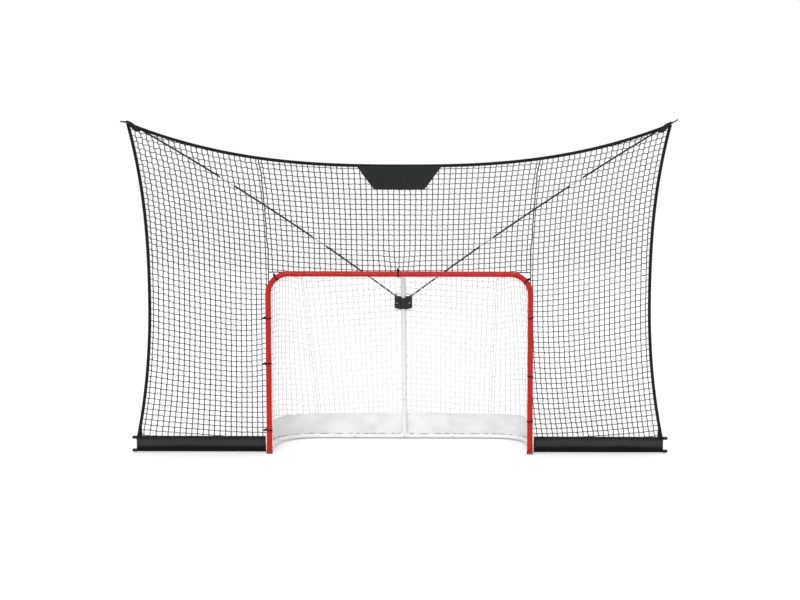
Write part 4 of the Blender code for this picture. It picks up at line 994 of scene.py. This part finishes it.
class Finish:
    """A material in the making: its shader's inputs and its coordinates. A rounding hides a solid's facets."""

    def __init__(self, name, roughness, metallic=0.0, shine=0.5, rounding=None):
        self.material = bpy.data.materials.new(name)
        self.material.use_nodes = True
        tree = self.material.node_tree
        self.inputs = tree.nodes["Principled BSDF"].inputs
        for label, value in (("Roughness", roughness), ("Metallic", metallic), ("Specular IOR Level", shine)):
            feed(self.inputs[label], value)
        where = add(tree, "ShaderNodeTexCoord")
        self.spot, self.flat = Wire(where.outputs["Object"]), Wire(where.outputs["UV"])
        self.x, self.y, self.z = self.spot.split()
        if rounding:
            feed(self.inputs["Normal"], self.spot.node("ShaderNodeBevel", {"Radius": rounding}, samples=6))

    def grain(self, scale):
        """Height of a fine grain."""
        return effect(grain, self.spot, scale)

    def patches(self, scale, low=0.0, high=1.0):
        """Value that changes between two others in soft patches."""
        mask = effect(patches, self.spot, scale)
        return mask if (low, high) == (0.0, 1.0) else mask.spread(0.0, 1.0, low, high)

    def cloudy(self, colour, scale, low, high):
        """Colour with darker and lighter patches."""
        return self.patches(scale).blend(shade(colour, low), shade(colour, high))

    def done(self, colour, *bumps, roughness=None):
        """The material, with its colour and its bumps of a height, a distance and a strength."""
        feed(self.inputs["Base Color"], colour)
        if roughness:
            feed(self.inputs["Roughness"], roughness)
        normal = self.inputs["Normal"]
        for height, distance, strength in bumps:
            values = {"Height": height, "Distance": distance, "Strength": strength}
            if normal.is_linked:
                values["Normal"] = Wire(normal.links[0].from_socket)
            feed(normal, height.node("ShaderNodeBump", values))
        return self.material


def sprayed_paint(name, colour, foot, stub_colour, stub_foot):
    """Powder coat: a faint orange peel, uneven gloss and small rubbed marks, with painted shade near the floor.

    The stubs behind posts and crossbar have the colour of the tubes that fit on them.
    A foot is the height up to which shade is painted darker, and how dark.
    """
    made = Finish(name, 0.4, shine=0.22, rounding=0.005)
    bar_stub = (abs(made.x) < POST_X / 2) * (made.z < CROSSBAR_Z - POST_R - 0.0003)
    stub = (made.y > FRONT_Y + POST_R + 0.0006).most(bar_stub)

    def darker(share):
        return stub.blend(shade(colour, share), shade(stub_colour, share))
    tone = stub.blend(made.cloudy(colour, 7.0, 0.95, 1.03), shade(stub_colour))
    worn = made.grain(60.0).spread(0.66, 0.74) * made.z.spread(0.16, 0.02).scaled(0.5, 0.12)
    tone = worn.blend(tone, darker(0.55))
    # Painted shade near the floor: below a foot's height the paint turns darker, on the tubes and on their stubs
    # each.
    low, stub_low = (made.z.spread(top, top / 3) * dark for top, dark in (foot, stub_foot))
    tone = stub.spread(0.0, 1.0, low, stub_low).blend(tone, darker(0.45))
    return made.done(tone, (made.grain(420.0), 0.00012, 0.5), roughness=made.patches(22.0, 0.34, 0.46))


def plated_steel(name, colour):
    """Zinc plate with a cloudy, slightly brushed skin."""
    made = Finish(name, 0.36, metallic=1.0)
    return made.done(made.cloudy(colour, 160.0, 0.82, 1.1), (made.grain(1500.0), 0.0001, 0.4),
                     roughness=made.patches(300.0, 0.26, 0.45))


def moulded_plastic(name, colour, end_x=9.0, end_colour=(0.0, 0.0, 0.0)):
    """Moulding with a fine spark grain and paler rubbed patches, in another colour beyond end_x."""
    made = Finish(name, 0.5, shine=0.3)
    tone = made.grain(260.0).spread(0.68, 0.8).blend(made.cloudy(colour, 40.0, 0.85, 1.35), shade(colour, 2.2))
    tone = (abs(made.x) > end_x).blend(tone, shade(end_colour))
    return made.done(tone, (made.grain(1400.0), 0.00025, 0.6), roughness=made.patches(90.0, 0.40, 0.58))


def cap_rubber():
    """Red-brown foot cap, scuffed and dusty at the floor."""
    made = Finish("cap_rubber", 0.7, shine=0.2, rounding=0.004)
    dust = made.z.spread(0.008, 0.0) * 0.3
    tone = dust.blend(made.cloudy(settings().cap_red, 60.0, 0.8, 1.2), (0.30, 0.26, 0.24, 1.0))
    return made.done(tone, (made.grain(900.0), 0.0003, 0.6))


def rod_finish():
    """Black glass-fibre rod with pale metal ferrules at its joints."""
    made = Finish("rod_fibreglass", 0.42, shine=0.25, rounding=0.002)
    inner, outer = (abs(abs(made.x) - spot) < FERRULE_HALF for spot in FERRULE_X)
    metal = (inner + outer) * (made.z > 0.5)
    silver = made.patches(80.0).blend((0.86, 0.86, 0.85, 1.0), (0.95, 0.95, 0.94, 1.0))
    feed(made.inputs["Metallic"], metal)
    return made.done(metal.blend(made.cloudy(settings().rod_black, 35.0, 0.8, 1.3), silver),
                     (made.grain(700.0), 0.0001, 0.35), roughness=metal.scaled(-0.14, 0.42))


def twine(name, colour, roughness, shine, scale, low, high):
    """Laid net twine."""
    made = Finish(name, roughness, shine=shine)
    return made.done(made.cloudy(colour, scale, low, high), (effect(cord_lay, made.spot, 0.0016), 0.0003, 0.7))


def black_cord():
    """Black net twine, made once."""
    return bpy.data.materials.get("black_twine") or twine(
        "black_twine", settings().black_twine, 0.85, 0.1, 9.0, 0.8, 1.25)


def webbing():
    """Black ribbed tape with a row of stitches along each edge, made once."""
    if "black_webbing_tape" in bpy.data.materials:
        return bpy.data.materials["black_webbing_tape"]
    colour = settings().black_tape
    made = Finish("black_webbing_tape", 0.85, shine=0.12)
    ridges = effect(ribs, made.flat, 0.0016)
    tone = (ridges * 0.35).blend(shade(colour, 0.55), made.cloudy(colour, 14.0, 0.8, 1.3))
    seams = effect(stitches, made.flat, 0.0052, 0.0042)
    return made.done(seams.blend(tone, shade(colour, 2.2)), (ridges, 0.0004, 0.6), (seams, 0.0005, 0.6))


def cloth(name, colour, pitch):
    """Coated woven cloth."""
    made = Finish(name, 0.8, shine=0.12)
    threads = effect(weave, made.flat, pitch)
    tone = (threads * 0.45).blend(shade(colour, 0.7), made.cloudy(colour, 11.0, 0.88, 1.14))
    return made.done(tone, (threads, 0.0003, 0.5), roughness=made.patches(30.0, 0.66, 0.8))


def panel_cloth():
    """Cloth of the foot panels, with painted light and shade by height: a lighter grey band at mid-height, near
    black below it where the cloth curves under, and darker again at the upper sleeve.
    """
    black, grey = settings().panel_shaded_black, settings().panel_lit_grey
    made = Finish("panel_cloth", 0.8, shine=0.1)
    threads = effect(weave, made.flat, 0.0012)
    low, high = LOW_ROD_Z
    # Painted light and shade: the share of lighter grey rises from the bottom to a band at mid-height and falls
    # again at the upper sleeve.
    level = made.z + made.patches(5.0).scaled(0.008, -0.004)
    upper = level.spread(mix(low, high, 0.18), mix(low, high, 0.55))
    upper *= level.spread(high + 0.004, mix(low, high, 0.72), 0.45, 1.0)
    tone = made.patches(12.0).blend(upper.blend(shade(black), shade(grey)),
                                    upper.blend(shade(black, 1.3), shade(grey, 1.12)))
    return made.done((threads * 0.3).blend(tone, shade(black, 0.9)), (threads, 0.0003, 0.5))


def skirt_cloth():
    """White coated cloth with soft grey patches, stitched hems, and painted shadow in dashes where it meets the
    base tube.
    """
    colour = settings().white_cloth
    made = Finish("skirt_cloth", 0.7, shine=0.2)
    threads = effect(weave, made.flat, 0.0012)
    seams = effect(stitches, made.flat, 0.074, 0.005)
    tone = (threads * 0.12).blend(made.cloudy(colour, 4.0, 0.90, 1.03), shade(colour, 0.8))
    tone = (seams * 0.5).blend(tone, shade(colour, 0.6))
    # Painted shadow: dark dashes of uneven length just above the base tube's top, in the gap where the skirt meets
    # it.
    beside = abs(made.z - made.y.spread(FRONT_Y + 0.155, FRONT_Y + GOAL_DEPTH, 0.0560, 0.0312))
    marks = effect(dashes, made.flat, 19.0)
    gap_shadow = marks * beside.spread(marks.scaled(0.0038, 0.0006), 0.0004)
    return made.done((gap_shadow * 0.9).blend(tone, shade(colour, 0.20)), (threads, 0.0002, 0.4), (seams, 0.0006, 0.5))


def finish_nodes():
    """Gives each hard solid its finish."""
    values = settings()
    # A foot is the height and darkness of the painted shade near the floor.
    white = (values.white_paint, (0.016, 0.85))
    finishes = (
        (("corner_tube", "crossbar_tube"), sprayed_paint("red_paint", values.red_paint, (0.045, 0.6), *white)),
        (("base_tube", "centre_bar"), sprayed_paint("white_paint", *white, *white)),
        (("foot_cap",), cap_rubber()),
        (("hub_bolt", "base_rear_button", "bar_button"), plated_steel("dull_zinc", (0.30, 0.30, 0.29))),
        (("top_bolt", "saddle_bolt", "bracket_screw"), plated_steel("zinc_plate", (0.62, 0.62, 0.60))),
        (("crossbar_button", "base_side_button"), plated_steel("yellow_zinc", (0.40, 0.24, 0.08))),
        (("hub_front", "hub_rear"), moulded_plastic("hub_plastic", values.hub_black)),
        (("rod_bracket",), moulded_plastic("bracket_plastic", values.bracket_white, POST_X + POST_R + 0.008,
                                          values.hub_black)),
        (("upper_rod", "lower_rod"), rod_finish()),
    )
    for starts, finish in finishes:
        for name, item in NODES.items():
            if name.startswith(starts):
                item.data.materials.clear()
                item.data.materials.append(finish)


# Stage

def in_view(tree):
    """1 where the camera looks, also in a reflection or through glass."""
    path = add(tree, "ShaderNodeLightPath").outputs
    direct, glossy, through = (Wire(path[f"Is {kind} Ray"]) for kind in ("Camera", "Glossy", "Transmission"))
    return direct.most(glossy).most(through)


def floor():
    """Pale floor that reads as white and keeps the goal's shadow."""
    mesh = bpy.data.meshes.new("floor")
    work = bmesh.new()
    bmesh.ops.create_grid(work, x_segments=1, y_segments=1, size=30)
    bmesh.ops.translate(work, verts=work.verts, vec=(0, 0, -0.0004))
    work.to_mesh(mesh)
    work.free()
    placed("floor", mesh)
    made = Finish("floor", 0.9, shine=0.0)
    feed(made.inputs["Emission Color"], WHITE)
    feed(made.inputs["Emission Strength"], in_view(made.material.node_tree) * settings().floor_lift)
    mesh.materials.append(made.done(shade(WHITE, 0.80)))


def sky():
    """White background, and an even soft light from all round."""
    world = bpy.data.worlds.new("studio")
    bpy.context.scene.world = world
    world.use_nodes = True
    inputs = world.node_tree.nodes["Background"].inputs
    feed(inputs["Color"], WHITE)
    feed(inputs["Strength"], in_view(world.node_tree).spread(0.0, 1.0, settings().sky_light, 1.0))


def lights():
    """Two sun-like lamps with soft discs, each with a strength, a direction and a width."""
    for name, strength, direction, width in (("key", 1.20, (0.12, 1.0, -0.72), 44),
                                             ("top", 0.55, (-0.1, 0.25, -1.0), 60)):
        data = bpy.data.lights.new(name, "SUN")
        data.energy = strength
        data.angle = radians(width)
        placed(name, data).rotation_euler = Vector(direction).to_track_quat("-Z", "Y").to_euler()


def camera():
    """Camera at the photograph's place and angle, with plain colours."""
    data = bpy.data.cameras.new("camera")
    data.sensor_width = SENSOR_MM
    data.lens = FOCAL_PIXELS * SENSOR_MM / PHOTO_WIDTH
    data.shift_x = -PRINCIPAL_X / PHOTO_WIDTH
    data.clip_end = 200
    scene = bpy.context.scene
    scene.camera = placed("camera", data)
    pitch, roll = radians(CAMERA_PITCH), radians(CAMERA_ROLL)
    turn = Matrix.Rotation(pi / 2 - pitch, 4, "X") @ Matrix.Rotation(roll, 4, "Z")
    scene.camera.matrix_world = Matrix.Translation(place(*CAMERA_PLACE)) @ turn
    scene.view_settings.view_transform = "Standard"


# Settings

def length_property(label, text, value):
    """A size in metres."""
    return bpy.props.FloatProperty(name=label, description=text, default=value, min=0.0, precision=4,
                                   subtype="DISTANCE", unit="LENGTH")


def share_property(label, text, value):
    """A plain number."""
    return bpy.props.FloatProperty(name=label, description=text, default=value)


def colour_property(label, text, value):
    """A colour."""
    return bpy.props.FloatVectorProperty(name=label, description=text, default=value, min=0.0, max=1.0, size=3,
                                         subtype="COLOR")


class HockeyGoalSettings(bpy.types.PropertyGroup):
    """Sizes and colours of the goal."""

    black_pitch: length_property("Black mesh", "Distance between the black net's knots", 0.0366)
    black_cord: length_property("Black cord", "Diameter of the black net's cord", 0.0064)
    black_jog_across: length_property("Jog across", "Sideways step of the black net's knots", 0.0022)
    black_jog_up: length_property("Jog up", "Upward step of the black net's knots", 0.0042)
    black_knot: share_property("Black knot", "Knot as a share of the cord", 1.4)
    white_pitch: length_property("White mesh", "Distance between the white net's knots", 0.0370)
    white_cord: length_property("White cord", "Diameter of the white net's cord", 0.0053)
    white_jog: share_property("White jog", "Step of the knots as a share of a mesh", 0.07)
    white_knot: share_property("White knot", "Knot as a share of the cord", 1.35)
    band_width: length_property("Binding", "Width of the tape on the backstop's edge", 0.021)
    tie_width: length_property("Tie", "Width of the tape of a tie", 0.010)
    red_paint: colour_property("Red", "Paint of posts and crossbar", (0.53, 0.011, 0.007))
    white_paint: colour_property("White", "Paint of base and centre bar", (0.90, 0.90, 0.90))
    cap_red: colour_property("Cap", "Foot caps", (0.30, 0.040, 0.038))
    hub_black: colour_property("Hub", "Moulded hub and brackets", (0.018, 0.018, 0.019))
    bracket_white: colour_property("Bracket", "Brackets of the lower rods", (0.80, 0.80, 0.80))
    rod_black: colour_property("Rod", "Rods of the backstop", (0.009, 0.009, 0.010))
    black_twine: colour_property("Black twine", "Backstop net", (0.042, 0.042, 0.045))
    white_twine: colour_property("White twine", "Goal net", (0.87, 0.87, 0.87))
    black_tape: colour_property("Black tape", "Binding and ties", (0.018, 0.018, 0.019))
    black_cloth: colour_property("Pocket", "Corner pockets", (0.020, 0.020, 0.021))
    banner_cloth: colour_property("Banner", "Banner's cloth", (0.026, 0.028, 0.028))
    # The foot panels' cloth as painted light and shade: a lit grey for the band at mid-height and a shaded near
    # black above and below it.
    panel_lit_grey: colour_property("Panel above", "Upper part of the foot panels", (0.040, 0.040, 0.041))
    panel_shaded_black: colour_property("Panel below", "Lower part of the foot panels", (0.004, 0.004, 0.004))
    white_cloth: colour_property("Skirt", "Skirt's cloth", (0.86, 0.86, 0.86))
    floor_lift: share_property("Floor", "Lift of the floor's white", 0.28)
    sky_light: share_property("Sky", "Strength of the even light", 0.68)


class GOAL_OT_paint(bpy.types.Operator):
    """Finish the frame, hub, rods and fittings"""

    bl_idname = "goal.paint"
    bl_label = "Finish Frame"

    def execute(self, context):
        finish_nodes()
        return {"FINISHED"}


class GOAL_OT_black_nets(bpy.types.Operator):
    """Knot the three black nets of the backstop"""

    bl_idname = "goal.black_nets"
    bl_label = "Black Nets"

    def execute(self, context):
        backstop_nets()
        return {"FINISHED"}


class GOAL_OT_binding(bpy.types.Operator):
    """Fold and sew the tape round the backstop"""

    bl_idname = "goal.binding"
    bl_label = "Binding"

    def execute(self, context):
        binding()
        return {"FINISHED"}


class GOAL_OT_pockets(bpy.types.Operator):
    """Make the pockets at the upper corners"""

    bl_idname = "goal.pockets"
    bl_label = "Corner Pockets"

    def execute(self, context):
        corner_pockets()
        return {"FINISHED"}


class GOAL_OT_foot_panels(bpy.types.Operator):
    """Stretch the cloth panels on the lower rods"""

    bl_idname = "goal.foot_panels"
    bl_label = "Foot Panels"

    def execute(self, context):
        foot_panels()
        return {"FINISHED"}


class GOAL_OT_banner(bpy.types.Operator):
    """Hang the plain banner"""

    bl_idname = "goal.banner"
    bl_label = "Banner"

    def execute(self, context):
        banner()
        return {"FINISHED"}


class GOAL_OT_ties(bpy.types.Operator):
    """Tie the backstop to posts and crossbar"""

    bl_idname = "goal.ties"
    bl_label = "Ties"

    def execute(self, context):
        ties()
        return {"FINISHED"}


class GOAL_OT_white_nets(bpy.types.Operator):
    """Knot the four white nets of the goal"""

    bl_idname = "goal.white_nets"
    bl_label = "White Nets"

    def execute(self, context):
        goal_nets()
        return {"FINISHED"}


class GOAL_OT_skirt(bpy.types.Operator):
    """Hang the white skirt round the base"""

    bl_idname = "goal.skirt"
    bl_label = "Skirt"

    def execute(self, context):
        skirt()
        return {"FINISHED"}


class GOAL_OT_stage(bpy.types.Operator):
    """Set up floor, light and camera"""

    bl_idname = "goal.stage"
    bl_label = "Stage"

    def execute(self, context):
        camera()
        floor()
        sky()
        lights()
        return {"FINISHED"}


class GOAL_PT_sidebar(bpy.types.Panel):
    """Sizes, colours and steps of the goal"""

    bl_idname = "GOAL_PT_sidebar"
    bl_label = "Hockey Goal"
    bl_space_type = "VIEW_3D"
    bl_region_type = "UI"
    bl_category = "Hockey Goal"

    def draw(self, context):
        """Draws every setting and a button for every step."""
        column = self.layout.column()
        for name in HockeyGoalSettings.__annotations__:
            column.prop(context.scene.hockey_goal, name)
        for step in STEPS:
            column.operator(step.bl_idname)


STEPS = (GOAL_OT_stage, GOAL_OT_paint, GOAL_OT_black_nets, GOAL_OT_binding, GOAL_OT_pockets, GOAL_OT_banner,
         GOAL_OT_foot_panels, GOAL_OT_ties, GOAL_OT_white_nets, GOAL_OT_skirt)
CLASSES = (HockeyGoalSettings, *STEPS, GOAL_PT_sidebar)


def register():
    """Registers the classes and the settings."""
    for made in CLASSES:
        bpy.utils.register_class(made)
    bpy.types.Scene.hockey_goal = bpy.props.PointerProperty(type=HockeyGoalSettings)


def unregister():
    """Takes them back out."""
    del bpy.types.Scene.hockey_goal
    for made in reversed(CLASSES):
        bpy.utils.unregister_class(made)


def main():
    """Runs every step."""
    register()
    for step in STEPS:
        area, name = step.bl_idname.split(".")
        getattr(getattr(bpy.ops, area), name)()


if __name__ == "__main__":
    main()
